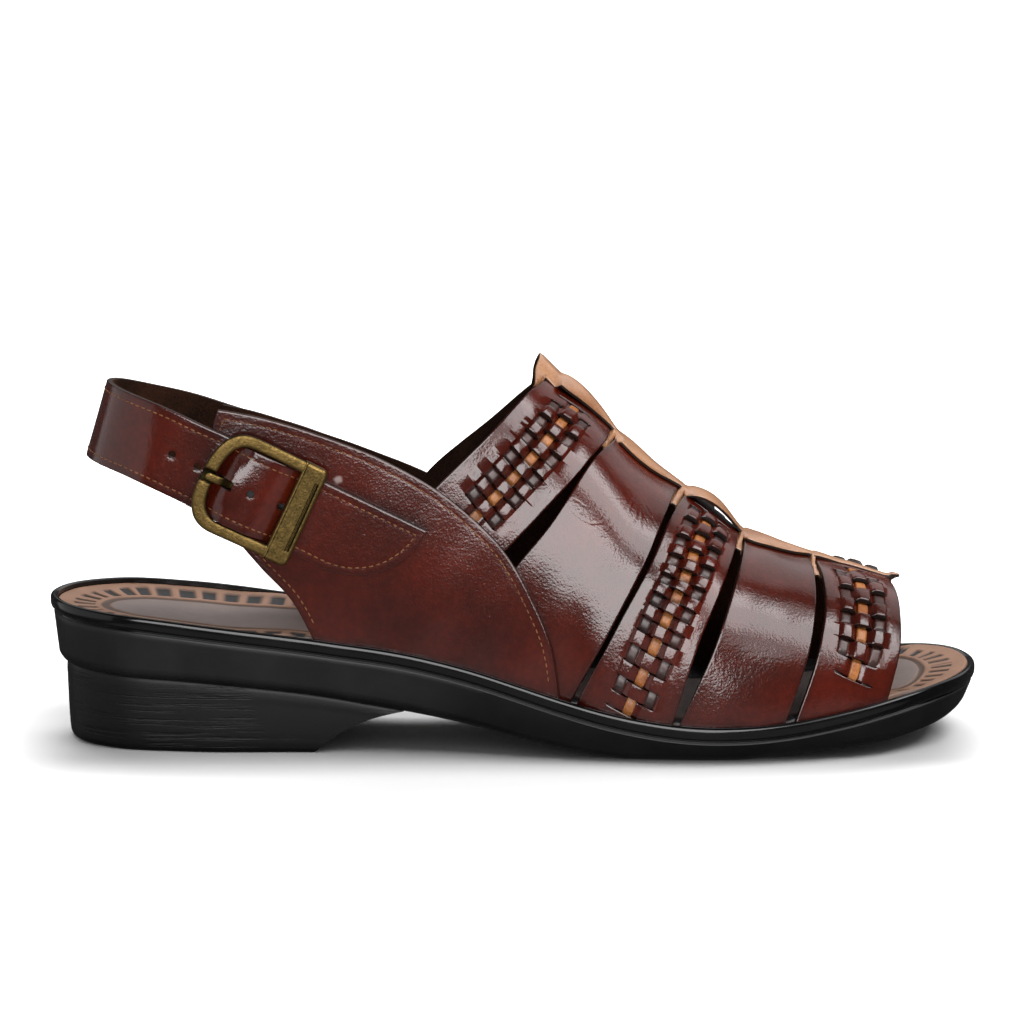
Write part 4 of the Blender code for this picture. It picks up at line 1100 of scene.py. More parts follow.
def weave_lift(tau, heights):
    """Lift of a strip at places from the middle of the band: over and under three laces."""
    at = np.concatenate([-TURNS_AT[::-1], TURNS_AT])
    left, middle, right = heights
    value = np.array([0.0, left, left, middle, middle, right, right, 0.0])
    row = np.clip(np.searchsorted(at, tau) - 1, 0, len(at) - 2)
    t = np.clip((tau - at[row]) / (at[row + 1] - at[row]), 0.0, 1.0)
    lift = value[row] + (value[row + 1] - value[row]) * t * t * (3.0 - 2.0 * t)
    for column, height in zip((-1, 0, 1), heights):
        hump = np.clip(1.0 - ((tau - column * COLUMN_SPACING) / 2.7)**2, 0.0, 1.0)
        lift = lift + 0.2 * max(height, 0.0) * hump
    return lift


def slit_scale(width):
    """Return how much the weave is drawn in where a band is too narrow for its full width."""
    return np.minimum(1.0, (width / 2.0 - SLIT_MARGIN) / SLIT_REACH)


def window_columns(width):
    """Return places across a woven band in mm: a margin, the slits, and the other margin."""
    reach = SLIT_REACH * slit_scale(width)
    start = width / 2.0 - reach
    near = WINDOW_MARGIN * np.minimum(1.0, 0.8 * start / WINDOW_MARGIN[-1])
    inside = start + np.linspace(0.0, 2.0, WINDOW_COLUMNS) * reach
    return np.concatenate([near, inside, width - near[:, ::-1]], axis=1)


def weave_blocks(name):
    """Return a band's blocks from slit to slit: start, end and lifts over the laces, if any."""
    slits, lace = weave_rows(name)
    blocks = []
    for side in (OUTER, INNER):
        for row, shows in enumerate(lace):
            first, last = slits[row:row + 2]
            flat = float(ease((first + last) / 2.0, *WEAVE_FLATTENS[name]))
            up = BRIDGE_UP * (1.0 - FLATTER_UP * flat)
            down = -BRIDGE_DOWN * (1.0 - FLATTER_DOWN * flat)
            beside, middle = (up, down) if shows else (down, up)
            if row in (0, len(lace) - 1):
                beside = 0.0
            blocks.append((*sorted((side * first, side * last)), (beside, middle, beside)))
    return blocks + [(-slits[0], slits[0], None), (-1.0, -slits[-1], None), (slits[-1], 1.0, None)]


def weave_block(edges, start, end, heights):
    """Return the patches of one strip between two slits, or of a plain stretch without heights."""
    v = STRIP_ROWS if heights else PLAIN_ROWS
    middle, half = (start + end) / 2.0, (end - start) / 2.0
    row_share = middle + half * v
    width = band_width(edges, row_share)[:, None]
    at = window_columns(width)
    tau = (at - width / 2.0) / slit_scale(width)
    part = at / width
    slit = 1.0 - ease(np.abs(tau), SLIT_REACH - 1.0, SLIT_REACH)
    girth_mm = np.interp(through(edges, 1, abs(middle)), CHART_X, REACH[OUTER])
    cut = [float(abs(place) < 1.0) for place in (start, end)]
    squeeze = np.where(v < 0.0, *cut)[:, None]
    opening = np.abs(v)[:, None]**8 * squeeze * slit * SLIT_OPEN / girth_mm
    if heights:
        skew = lean_of_rows(edges, abs(row_share)) * np.sign(middle)
        lift = weave_lift(tau, heights)
        lift = lift * (1.0 - 0.10 * v[:, None]**2 * (lift > 0.0))
    else:
        first, last = (lean_of_rows(edges, np.array([abs(place)]))[0] * np.sign(place) * is_cut
                       for place, is_cut in zip((start, end), cut))
        skew = (1.0 - v) / 2.0 * first + (1.0 + v) / 2.0 * last
        lift = 0.0
    share = row_share[:, None] - np.sign(v)[:, None] * opening + skew[:, None] * (part - 0.5)
    share = np.clip(share, -1.0, 1.0)
    edge_across = np.minimum(at, width - at)
    to_slit = (1.0 - np.abs(v))[:, None] * half * girth_mm
    to_slit = to_slit + UNCUT * (1.0 - squeeze) + UNCUT * (1.0 - slit)
    edge = np.minimum(edge_across, to_slit)
    drop = rolled(edge_across) + rolled(to_slit, reach=0.55) * slit
    outer = band_point(edges, share, part, BAND_LEATHER + lift - drop)
    inner = band_point(edges, share, part, BAND_LEATHER - WOVEN_LEATHER + lift)
    patches = [(outer, edge, 0), (inner, edge, 2)]
    for column in (0, -1):
        patches += rounded_wall(outer[:, column], inner[:, column], 1, 2)
    window = slice(MARGIN_COLUMNS, MARGIN_COLUMNS + WINDOW_COLUMNS)
    for row, is_cut in zip((0, -1), cut):
        columns = window if is_cut else slice(None)
        patches += rounded_wall(outer[row, columns], inner[row, columns], 1, 2)
    return patches


def make_woven_band(name):
    """Make a woven band: plain at its ends, and slit strips over and under the laces between."""
    patches = [patch for block in weave_blocks(name) for patch in weave_block(BANDS[name], *block)]
    return make_piece(name, patches, upper_layers, sharp=50.0)


LACE_WIDTH, LACE_THICK = 3.2, 1.0
LACE_OUT = 1.85          # face of a lace over the last where it shows
LACE_IN = 1.0            # and where it goes under a bridge
BACKING = (0.05, 0.35)   # depth of the backing's two faces under the last's surface


def make_lace(name, column, side, finish):
    """Make one lace of a woven band, over and under its strips."""
    edges = BANDS[name]
    slits, lace = weave_rows(name)
    centre = np.linspace(slits[0] - 0.03, min(slits[-1] + 0.02, 0.985), 115)
    lean, width = lean_of_rows(edges, centre), band_width(edges, centre)
    reach = np.interp(through(edges, 1, centre), CHART_X, REACH[OUTER])
    shown = np.zeros_like(centre)
    for row, shows in enumerate(lace):
        if shows == (column == 0) and not (column and row in (0, len(lace) - 1)):
            soft = 0.75 / reach
            first, last = slits[row] + 0.35 / reach, slits[row + 1] - 0.55 / reach
            shown = np.maximum(shown, between(centre, first - soft, first + soft,
                                              last - soft, last + soft))
    across = np.array([-1.0, -0.94, -0.8, -0.45, 0.0, 0.45, 0.8, 0.94, 1.0]) * LACE_WIDTH / 2.0
    edge = LACE_WIDTH / 2.0 - np.abs(across)
    middle = column * COLUMN_SPACING * slit_scale(width)
    part = 0.5 + (middle[:, None] + across) / width[:, None]
    share = side * (centre[:, None] + lean[:, None] * (part - 0.5))
    flat = 1.0 - 0.1 * ease(centre, *WEAVE_FLATTENS[name])
    top = LACE_IN + (LACE_OUT - LACE_IN) * shown * flat
    outer = band_point(edges, share, part, top[:, None] - rolled(edge, 0.4, 0.7))
    inner = band_point(edges, share, part, top[:, None] - LACE_THICK + 0.0 * edge)
    place = {-1: "rear", 0: "middle", 1: "front"}[column]
    return make_sheet(f"{name}_{'outer' if side == OUTER else 'inner'}_{place}_lace", outer, inner,
                      edge, [finish])


def make_backing(name):
    """Make the thin suede sheet that is glued behind a weave and holds the laces."""
    edges = BANDS[name]
    share = np.linspace(-0.99, 0.99, 121)[:, None]
    part = np.linspace(0.04, 0.96, 13)[None, :]
    share, part = np.broadcast_arrays(share, part)
    face, back = (band_point(edges, share, part, -depth) for depth in BACKING)
    return make_sheet(f"{name}_backing", face, back, 0.0, [lining])


for band in LACE_SHOWS:
    make_woven_band(band)
    make_backing(band)
    for side in (OUTER, INNER):
        for column in (-1, 0, 1):
            make_lace(band, column, side, dark_lace if column else tan_lace)

# %% [markdown]
# ## Centre strip
#
# A tan strip runs along the instep. The bands are threaded through it: its margins lie under them,
# and its middle rides over them in low arches, cut like leaves that narrow towards the toe. Between
# two bands margin and middle are one leather again, so tan shows there too. Its cut edge is inked
# dark, and that dark line draws each arch. It is made as two sheets, one under the bands and one
# over them, and in the gaps the first covers the second.

# %% Centre strip
STRIP_REAR_X, STRIP_FRONT_X = 5.2, 120.5
STRIP_HALF = 17.0
STRIP_LEAF = (9.0, 3.4)  # half the middle's width over each band, at its rear and front edge
TOE_LEAF, TOE_DRIFT = (3.4, 1.7), 3.6    # the same over the last band, and its turn inwards
STRIP_FLARE, STRIP_TAB_LIFT, STRIP_TAB_ROOT = 1.6, 0.6, 1.6
MARGINS_SHORT = 4.5      # the margins end this far behind the tip of the tab
# x where the strip's leaves narrow, where it drifts inwards, is skived, and where its tab thickens
NARROWS_X, DRIFTS_X, SKIVED_X, ROOT_X = (87.0, 95.0), (88.0, 106.0), (94.0, 103.0), (116.2, 117.4)
# Arch over each band: how high it is, and how far it falls from its middle to its edges
STRIP_ARCH = {"band_1": (2.0, 1.0), "band_2": (1.2, 1.0), "band_3": (2.2, 0.1),
              "band_4": (1.0, 1.0), "band_5": (0.2, 1.0)}
STRIP_LEATHER, SKIVED_LEATHER = 1.1, 0.4
STRIP_EDGE_IN_GAP, STRIP_CREST_IN_GAP = 0.9, 2.9


def over_bands(x, share, ramp):
    """Return 1 over the bands and 0 in the gaps between them, with ramps outside each band."""
    over = np.zeros_like(x)
    for edges in BANDS.values():
        rear, front = band_reach(edges, share)
        over = np.maximum(over, between(x, rear - ramp, rear, front, front + ramp))
    return over


def strip_flare(x):
    """Rise of the strip's free ends off the foot: a wide flare at the rear, a tab in front."""
    flare = STRIP_FLARE * (1.0 - ease(x, STRIP_REAR_X, STRIP_REAR_X + 20.0))
    return flare + STRIP_TAB_LIFT * ease(x, STRIP_FRONT_X - 5.0, STRIP_FRONT_X)


def gap_face(x, width):
    """Height of the strip's face in a gap: low at its margins, and full at the crest."""
    crest = 1.0 - ease(abs(width), 3.0, 10.0)
    return STRIP_EDGE_IN_GAP + (STRIP_CREST_IN_GAP - STRIP_EDGE_IN_GAP) * crest + strip_flare(x)


def leaf_half(x):
    """Half width of the strip's middle: over each band it narrows like a leaf."""
    wide, narrow = (body + (toe - body) * ease(x, *NARROWS_X)
                    for body, toe in zip(STRIP_LEAF, TOE_LEAF))
    half = wide.copy()
    for name, edges in BANDS.items():
        rear, front = edges[0, 1], edges[0, 2]
        back = 0.0 if name == "band_5" else ease(x, front + 0.2, front + 2.0)
        half -= (wide - narrow) * ease(x, rear, front) * (1.0 - back)
    return half * (1.0 - 0.6 * ease(x, STRIP_FRONT_X - 3.0, STRIP_FRONT_X))


def make_strip(name, start, end, half, top, thick):
    """Make a strip along the crest, its width measured over the last."""
    x = np.concatenate([start + NEAR_EDGE[:-1], np.linspace(start + 1.4, end - 1.4, 230),
                        end - NEAR_EDGE[:-1][::-1]])
    half = half(x)[:, None]
    x = x[:, None]
    width = across_band(2.0 * half[:, 0], 16) - half
    share = share_of_width(x, width + TOE_DRIFT * ease(x, *DRIFTS_X))
    x, width, half = np.broadcast_arrays(x, width, half)
    edge = np.minimum(half - abs(width), np.minimum(x - start, end - x))
    height = top(x, width, half, share)
    outer = on_last(x, share, height - rolled(edge, 0.3, 0.6))
    root = STRIP_TAB_ROOT * between(x, *ROOT_X, ROOT_X[1], STRIP_FRONT_X)
    inner = on_last(x, share, height - thick - root)
    return make_sheet(name, outer, inner, edge, [tan_calf, tan_edge, lining])


def middle_top(x, width, half, share):
    """Height of the middle's face: level with the margins in the gaps, arched over the bands."""
    over = over_bands(x, 0.0 * share, 1.0)
    arch = np.zeros_like(x)
    for name, edges in BANDS.items():
        rear, front = edges[0, 1], edges[0, 2]
        part = np.clip((x - rear) / (front - rear), 0.0, 1.0)
        rise, fall = STRIP_ARCH[name]
        arch += rise * np.sin(math.pi * part**0.75) * (1.0 - fall * (width / half)**2)
    skived = (STRIP_LEATHER - SKIVED_LEATHER) * ease(x, *SKIVED_X)
    on_band = BAND_LEATHER + STRIP_LEATHER + 0.2 - skived + strip_flare(x)
    return (gap_face(x, width) + 0.03) * (1.0 - over) + on_band * over + arch


def margin_top(x, width, half, share):
    """Height of the margins: under the bands, and one face with the middle in the gaps."""
    over = over_bands(x, share, 0.5)
    return gap_face(x, width) * (1.0 - over) - 0.1 * over


make_strip("centre_strip_middle", STRIP_REAR_X + 0.4, STRIP_FRONT_X, leaf_half, middle_top,
           STRIP_LEATHER)
make_strip("centre_strip_margins", STRIP_REAR_X, STRIP_FRONT_X - MARGINS_SHORT,
           lambda x: np.full_like(x, STRIP_HALF), margin_top, 1.0)

# %% [markdown]
# ## Quarters
#
# The quarters hold the heel: one curved panel on either side, over the lower ends of the first two
# bands. Each is a patch between four edges: its top, its rear, its foot in the sole and the short
# front. They are leather outside and suede inside, and both layers show in the cut edge.

# %% Quarters
# Top edge from the rear corner to the sole, and rear edge from the corner to the sole: x, z
QUARTER_TOP = {
    OUTER: np.array([(-90.5, 108.5), (-82.0, 107.0), (-64.0, 102.0), (-38.5, 92.0), (-23.0, 83.0),
                     (-13.0, 75.0), (-3.0, 65.0), (6.5, 49.0), (11.5, 37.4), (14.5, 20.0)]),
    INNER: np.array([(-92.0, 99.3), (-84.0, 97.6), (-64.0, 91.5), (-42.5, 83.9), (-28.0, 78.0),
                     (-13.0, 69.8), (-3.0, 60.8), (6.5, 47.2), (11.5, 36.1), (14.5, 20.0)]),
}
REAR_TO_SOLE = [(-85.5, 69.0), (-78.5, 60.0), (-68.5, 49.0), (-61.0, 35.4)]
QUARTER_REAR = {
    OUTER: np.array([(-90.5, 108.5), (-92.5, 102.0), (-91.0, 87.0)] + REAR_TO_SOLE),
    INNER: np.array([(-92.0, 99.3), (-92.5, 95.3), (-91.0, 85.0)] + REAR_TO_SOLE),
}
QUARTER_LEATHER = 1.6
STITCH_INSET = 2.5       # stitching runs this far inside an edge


def crowded(count, near_start, near_end, length):
    """Return shares of a length in mm, crowded as NEAR_EDGE at the ends that are asked for."""
    near = NEAR_SEAM / length
    shares = np.linspace(0.0, 1.0, count)
    if near_start:
        shares = np.concatenate([near, shares[shares > near[-1] + 0.3 / length]])
    if near_end:
        shares = np.concatenate([shares[shares < 1.0 - near[-1] - 0.3 / length],
                                 1.0 - near[::-1]])
    return shares


def quarter_flat(side, t, h):
    """Return x, z of a quarter: t runs along its top from the rear, h from foot to top."""
    top = along_curve(QUARTER_TOP[side], t)
    rear = along_curve(QUARTER_REAR[side], 1.0 - h)
    foot_x = rear[0, 0] + (top[-1, 0] - 1.0 - rear[0, 0]) * t
    foot = np.column_stack([foot_x, rim_top(foot_x) - TRAY_DEPTH + 2.0 * GAP])
    front = foot[-1] + (top[-1] - foot[-1]) * h[:, None]
    s, r = t[None, :, None], h[:, None, None]
    return ((1.0 - r) * foot[None] + r * top[None] + (1.0 - s) * rear[:, None] + s * front[:, None]
            - (1.0 - s) * (1.0 - r) * foot[0] - s * (1.0 - r) * foot[-1]
            - (1.0 - s) * r * rear[-1] - s * r * top[-1])


def stitch_furrow(edge):
    """Sink of the leather where the stitches pull it down, by distance from the edge."""
    return 0.03 * bell(edge - STITCH_INSET, 0.45)


def make_quarter(side, name):
    """Make a quarter: leather over suede, with rolled edges and a furrow under its stitching."""
    flat = quarter_flat(side, crowded(120, True, False, 150.0), crowded(60, False, True, 70.0))
    share = share_at(flat[..., 0], flat[..., 1], side)
    base = on_last(flat[..., 0], share, QUARTER_FACE, 0.0)
    to_top = travelled(base[::-1])[::-1]
    to_rear = travelled(base.transpose(1, 0, 2)).T
    edge = np.minimum(to_top, to_rear)
    outer = on_last(flat[..., 0], share, QUARTER_FACE - rolled(edge) - stitch_furrow(edge))
    inner = on_last(flat[..., 0], share, QUARTER_FACE - QUARTER_LEATHER)
    return make_sheet(name, outer, inner, edge, upper_layers)


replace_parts(make_quarter(OUTER, "quarter_outer"), "upper")
make_quarter(INNER, "quarter_inner")

# %% [markdown]
# ## Heel strap
#
# The strap is sewn to the inner quarter, goes round the heel, and passes through the buckle on the
# outer side, where it climbs over the low bar and lies down again to its tip. It follows the solid
# strap: a line round the heel with a lean at each place, and then places on the outer quarter
# measured from the buckle. Its holes are punched, which presses the leather down round them.

# %% Heel strap
STRAP_ON_QUARTER = np.array([(-55.5, 74.8), (-72.0, 80.7), (-90.0, 85.9)])
STRAP_ROUND_HEEL = np.array([
    (-103.0, 30.2, 90.4, 0.05, -0.1), (-116.5, 22.0, 95.1, 0.14, -0.08),
    (-125.3, 10.5, 98.9, 0.26, -0.02), (-127.5, -3.0, 100.8, 0.29, 0.0),
    (-124.0, -16.0, 101.0, 0.24, 0.04), (-113.5, -26.0, 98.4, 0.12, 0.08),
])
STRAP_WIDTH = 24.6
STRAP_LEATHER = 2.2
STRAP_SLOPE = math.radians(-25.7)
STRAP_TIP_U = 50.0
STRAP_LEAVES_U = -20.0   # here the strap leaves the quarter to go round the heel
STRAP_HOLES_U = (-30.0, -21.6, -4.2, 6.0)
BLIND_HOLE_U = STRAP_HOLES_U[2]
PRONG_SLOT_U = (-15.4, -9.9)
HOLE_RADIUS = 1.2
BLIND_DEPTH = 1.7
PUNCH_LENGTH, PUNCH_N = 16.0, 3.0         # length of a punch, and n of its middle
BUCKLE_X, BUCKLE_Z = -76.8, 81.9
PRONG_W, PRONG_WIDTH = -0.4, 2.4
PRONG_PLAY = 0.6         # room across the prong in the strap's slot and in the tab
# Rise of the strap off the quarter, along it from the buckle's middle: u, middle, edges
STRAP_RISE = np.array([
    (-26.0, 0.0, 0.0), (-19.0, 0.2, 0.2), (-15.6, 1.0, 0.8), (-11.4, 4.7, 2.7), (-8.6, 5.1, 4.2),
    (-5.0, 4.9, 4.7), (-3.0, 4.8, 4.8), (0.5, 4.3, 4.3), (3.6, 3.0, 3.0), (7.6, 1.1, 1.1),
    (12.0, 0.1, 0.1), (20.0, 0.0, 0.0), (52.0, 0.0, 0.0),
])


def at_buckle(u, w, n, soft=0.0):
    """Return points from the buckle's u, w and height n over the quarter's outer face."""
    u, w, n = np.broadcast_arrays(u, w, n)
    x = BUCKLE_X + u * math.cos(STRAP_SLOPE) - w * math.sin(STRAP_SLOPE)
    z = BUCKLE_Z + u * math.sin(STRAP_SLOPE) + w * math.cos(STRAP_SLOPE)
    return on_last(x, share_at(x, z, OUTER), QUARTER_FACE + n, soft)


def strap_rise(u, w):
    """Rise of the strap's inner face off the quarter, higher in its middle than at its edges."""
    middle = np.cos(math.pi * w / STRAP_WIDTH)**2
    return through(STRAP_RISE, 1, u) * middle + through(STRAP_RISE, 2, u) * (1.0 - middle)


def strap_row(middle, up):
    """Return a row of the strap's table: its middle, and its lean from the way up it."""
    return np.concatenate([middle, up[:2] / up[2]])


def strap_loop(stations):
    """Return the strap's inner face round the heel: centres, directions up it and outwards."""
    rows = []
    for x, z in STRAP_ON_QUARTER:
        foot, middle, head = (on_last(x, share_at(x, z + rise, INNER), QUARTER_FACE + 2.0 * GAP,
                                      0.0) for rise in (-6.0, 0.0, 6.0))
        rows.append(strap_row(middle, head - foot))
    rows += [np.array(row) for row in STRAP_ROUND_HEEL]
    for u in (STRAP_LEAVES_U - 6.0, STRAP_LEAVES_U):
        foot, head = at_buckle(u, -6.0, GAP), at_buckle(u, 6.0, GAP)
        rows.append(strap_row(at_buckle(u, 0.0, GAP + strap_rise(u, 0.0)), head - foot))
    rows = np.stack(rows)
    table = np.column_stack([travelled(rows[:, :3]), rows])
    at = np.linspace(0.0, table[-1, 0], stations)
    columns = [through(table, column, at) for column in range(1, 6)]
    centre = np.stack(columns[:3], axis=-1)
    guide = np.stack([columns[3], columns[4], np.ones(stations)], axis=-1)
    run = unit(np.gradient(centre, axis=0))
    up = unit(guide - run * np.sum(guide * run, axis=1)[:, None])
    return centre, up, np.cross(run, up)


LOOP = strap_loop(601)
LOOP_LENGTH = travelled(LOOP[0])
STRAP_START_U = STRAP_LEAVES_U - LOOP_LENGTH[-1]


def strap_low(u):
    """Lower edge of the strap at u: straight, then a quarter of a circle up to the tip."""
    beyond = np.clip(u - (STRAP_TIP_U - STRAP_WIDTH), 0.0, STRAP_WIDTH)
    return STRAP_WIDTH / 2.0 - np.sqrt(STRAP_WIDTH**2 - beyond**2)


def strap_point(u, w, lift):
    """Return points of the strap, on the loop round the heel or on the outer quarter."""
    u, w, lift = np.broadcast_arrays(np.asarray(u, float), w, lift)
    place = np.clip(u - STRAP_START_U, 0.0, None)
    centre, up, out = read_line(place, LOOP_LENGTH, *LOOP)
    loop = centre + up * w[..., None] + out * lift[..., None]
    close = at_buckle(u, w, GAP + strap_rise(u, w) + lift)
    return np.where((u < STRAP_LEAVES_U)[..., None], loop, close)


def strap_edge(u, w):
    """Distance in mm from a place on the strap to its nearest edge."""
    top = STRAP_WIDTH / 2.0
    round_tip = STRAP_WIDTH - np.hypot(np.maximum(u - (STRAP_TIP_U - STRAP_WIDTH), 0.0), top - w)
    return np.minimum(np.minimum(top - w, round_tip), u - STRAP_START_U)


def make_strap():
    """Make the strap, pressed down round the places of its holes; the holes and the prong's slot are
    punched after it.
    """
    u = np.concatenate([STRAP_START_U + NEAR_EDGE, np.arange(STRAP_START_U + 2.0, -33.0, 1.6),
                        np.arange(-33.0, STRAP_TIP_U - STRAP_WIDTH, 0.7),
                        STRAP_TIP_U - STRAP_WIDTH
                        + STRAP_WIDTH * np.sin(np.linspace(0.0, 1.545, 70))])
    side_columns = np.concatenate([NEAR_SEAM, np.linspace(3.7, 9.3, 9)])
    columns = np.concatenate([side_columns, np.linspace(9.9, 14.7, 15),
                              STRAP_WIDTH - side_columns[::-1]]) / STRAP_WIDTH
    low = strap_low(u)[:, None]
    w = low + (STRAP_WIDTH / 2.0 - low) * columns
    u = np.broadcast_to(u[:, None], w.shape)
    edge = np.maximum(strap_edge(u, w), 0.0)
    punched = np.zeros_like(u)
    for hole in STRAP_HOLES_U:
        gone = np.hypot(u - hole, w)
        punched = np.maximum(punched, 1.0 - ease(gone, HOLE_RADIUS, HOLE_RADIUS + 0.8))
    outer = strap_point(u, w, STRAP_LEATHER - rolled(edge) - stitch_furrow(edge) - 0.1 * punched)
    inner = strap_point(u, w, 0.0)
    return make_sheet("heel_strap_leather", outer, inner, edge, upper_layers,
                      replaced=["heel_strap"])


def buckle_axes(u, w):
    """Return the directions u, w and outward n at a place on the buckle, as columns."""
    step = 2.0
    along = at_buckle(u + step, w, 0.0) - at_buckle(u - step, w, 0.0)
    across = at_buckle(u, w + step, 0.0) - at_buckle(u, w - step, 0.0)
    n, along = unit(np.cross(along, across)), unit(along)
    return np.column_stack([along, np.cross(n, along), n])


def punch(piece, cutters):
    """Cut holes through a piece with closed shapes, and keep the result as its mesh."""
    for cutter in cutters:
        cut = piece.modifiers.new("punch", "BOOLEAN")
        cut.operation, cut.solver, cut.object = "DIFFERENCE", "EXACT", cutter
    graph = bpy.context.evaluated_depsgraph_get()
    piece.data = bpy.data.meshes.new_from_object(piece.evaluated_get(graph))
    piece.modifiers.clear()
    for cutter in cutters:
        bpy.data.objects.remove(cutter, do_unlink=True)
    piece.data.set_sharp_from_angle(angle=math.radians(40.0))


def cutter(shape, u, w, size, n, sides=40):
    """Return a closed shape at the buckle's u, w and n, a rod or a bar, that leaves a raw edge."""
    mesh = bmesh.new()
    if shape == "rod":
        bmesh.ops.create_cone(mesh, cap_ends=True, segments=sides, radius1=size[0],
                              radius2=size[0], depth=size[1])
    else:
        bmesh.ops.create_cube(mesh, size=1.0)
        for vert in mesh.verts:
            vert.co = [c * s for c, s in zip(vert.co, size)]
    turn, middle = buckle_axes(u, w), at_buckle(u, w, n)
    for vert in mesh.verts:
        vert.co = (turn @ np.array(vert.co) + middle) * MM
    data = bpy.data.meshes.new("punch")
    # The faces the cutter leaves take the inked cut edge; the floor of a hole cut part of the way is
    # dark as painted shade
    for face in mesh.faces:
        face.material_index = 1
    mesh.to_mesh(data)
    mesh.free()
    for finish in (calf, cut_edge):
        data.materials.append(finish)
    return put("punch", data)


strap = make_strap()
# The hole that lies over the low bar is cut part of the way, so that no brass shines in it, and its
# floor takes the dark inked edge as painted shade
part_way = GAP + strap_rise(BLIND_HOLE_U, 0.0) + STRAP_LEATHER + (PUNCH_LENGTH / 2.0 - BLIND_DEPTH)
holes = [cutter("rod", u, 0.0, (HOLE_RADIUS, PUNCH_LENGTH), part_way if u == BLIND_HOLE_U else PUNCH_N)
         for u in STRAP_HOLES_U]
slot_size = (PRONG_SLOT_U[1] - PRONG_SLOT_U[0], PRONG_WIDTH + PRONG_PLAY, 14.0)
punch(strap, holes + [cutter("bar", sum(PRONG_SLOT_U) / 2.0, PRONG_W, slot_size, PUNCH_N)])
print("strap after punching:", len(strap.data.polygons), "faces")

# %% [markdown]
# ## Buckle
#
# The buckle is cast brass, plated, blackened and then polished back, so the high faces are bright
# and the hollows stay dark. Its frame is bowed at the rear, where the prong rests in a notch, and
# its wide front bar is a raised plate, plain apart from two engraved lines. Metal has no body colour,
# so the brass is the colour of its reflection, and the patina is a darker and rougher layer.

# %% Finish of the buckle


def antique_brass(name, patina_and_shade_added=0.0):
    """Blackened brass polished back on its high faces, with a fine cast grain."""
    made = Finish(name, Metallic=1.0)
    speck = made.noise(1500.0)
    mottle = made.fade(0.45, made.noise(420.0, 5.0, 0.65), speck)
    amount = made.ramp(made.maths("ADD", mottle, made.written("hollow")), 0.36 - patina_and_shade_added,
                       0.85 - patina_and_shade_added)
    made.set(Base_Color=made.blend(amount, "#66532f", "#241e10"),
             Roughness=made.ramp(amount, 0.0, 1.0, 0.36, 0.66), Normal=made.bump(speck, 0.12, 0.8))
    return made.material


brass = antique_brass("antique brass")
# Painted shade: the low bar and its posts lie under the frame, and this copy of the brass is darker all
# over to stand for their shade
shaded_brass = antique_brass("brass darkened as painted shade", patina_and_shade_added=0.5)

# %% Buckle frame and its wide plate
FRAME_REACH, FRAME_HALF, FRAME_CORNER, FRAME_BOW = (-19.8, 15.0), 16.2, 2.5, 11.2
WINDOW_REACH, WINDOW_HALF, WINDOW_CORNER, WINDOW_BOW = (-15.9, 7.5), 12.6, 1.2, 7.2
FRAME_BASE, FRAME_DEPTH = 4.05, 2.5
FRAME_TOP = FRAME_BASE + FRAME_DEPTH
NOTCH_DEPTH = 1.1
PLATE_LAP, PLATE_PROUD, PLATE_CORNER = 0.35, 0.25, 2.4
ENGRAVED_IN, ENGRAVED_WIDTH, ENGRAVED_DEPTH = (2.3, 1.5), 0.2, 0.35    # in from the plate's front
BAR_LAP, POST_LAP, POST_RADIUS = 1.6, 1.8, 1.4
BOW_POWER, BAR_POWER = 0.77, 0.42     # how square the bow and the section of the bars are
BAR_U, BAR_RADIUS, PRONG_DEPTH = -3.0, 0.9, 0.9
BAR_N = GAP + PRONG_DEPTH + GAP + BAR_RADIUS    # so the leather and prong round it clear the quarter


def squared(wave, power):
    """Square off a sine or cosine with a power under 1, so that a circle becomes a rounded box."""
    return np.sign(wave) * np.abs(wave)**power


def frame_loop(reach, half, corner, bow, bowed=121, straight=41, turn=13):
    """Return a loop in u and w: bowed at the rear, straight with round corners at the front."""
    angle = np.radians(np.linspace(90.0, 270.0, bowed))
    loop = [np.column_stack([reach[0] + bow + bow * squared(np.cos(angle), BOW_POWER),
                             half * squared(np.sin(angle), BOW_POWER)])]
    for start, w in ((-90.0, corner - half), (0.0, half - corner)):
        angle = np.radians(start + np.linspace(0.0, 90.0, turn))
        arc = np.column_stack([reach[1] - corner + corner * np.cos(angle),
                               w + corner * np.sin(angle)])
        t = np.linspace(0.0, 1.0, straight)[1:-1, None]
        loop += [lerp(loop[-1][-1], arc[0], t), arc]
    loop.append(lerp(loop[-1][-1], loop[0][0], np.linspace(0.0, 1.0, straight)[1:, None]))
    return np.vstack(loop)


def bar_section(count=28):
    """Return the section of the frame's bars: a rounded box, as share across and share of depth."""
    angle = all_round(count) + math.pi / 4.0
    return 0.5 + 0.5 * squared(np.column_stack([np.cos(angle), np.sin(angle)]), BAR_POWER)


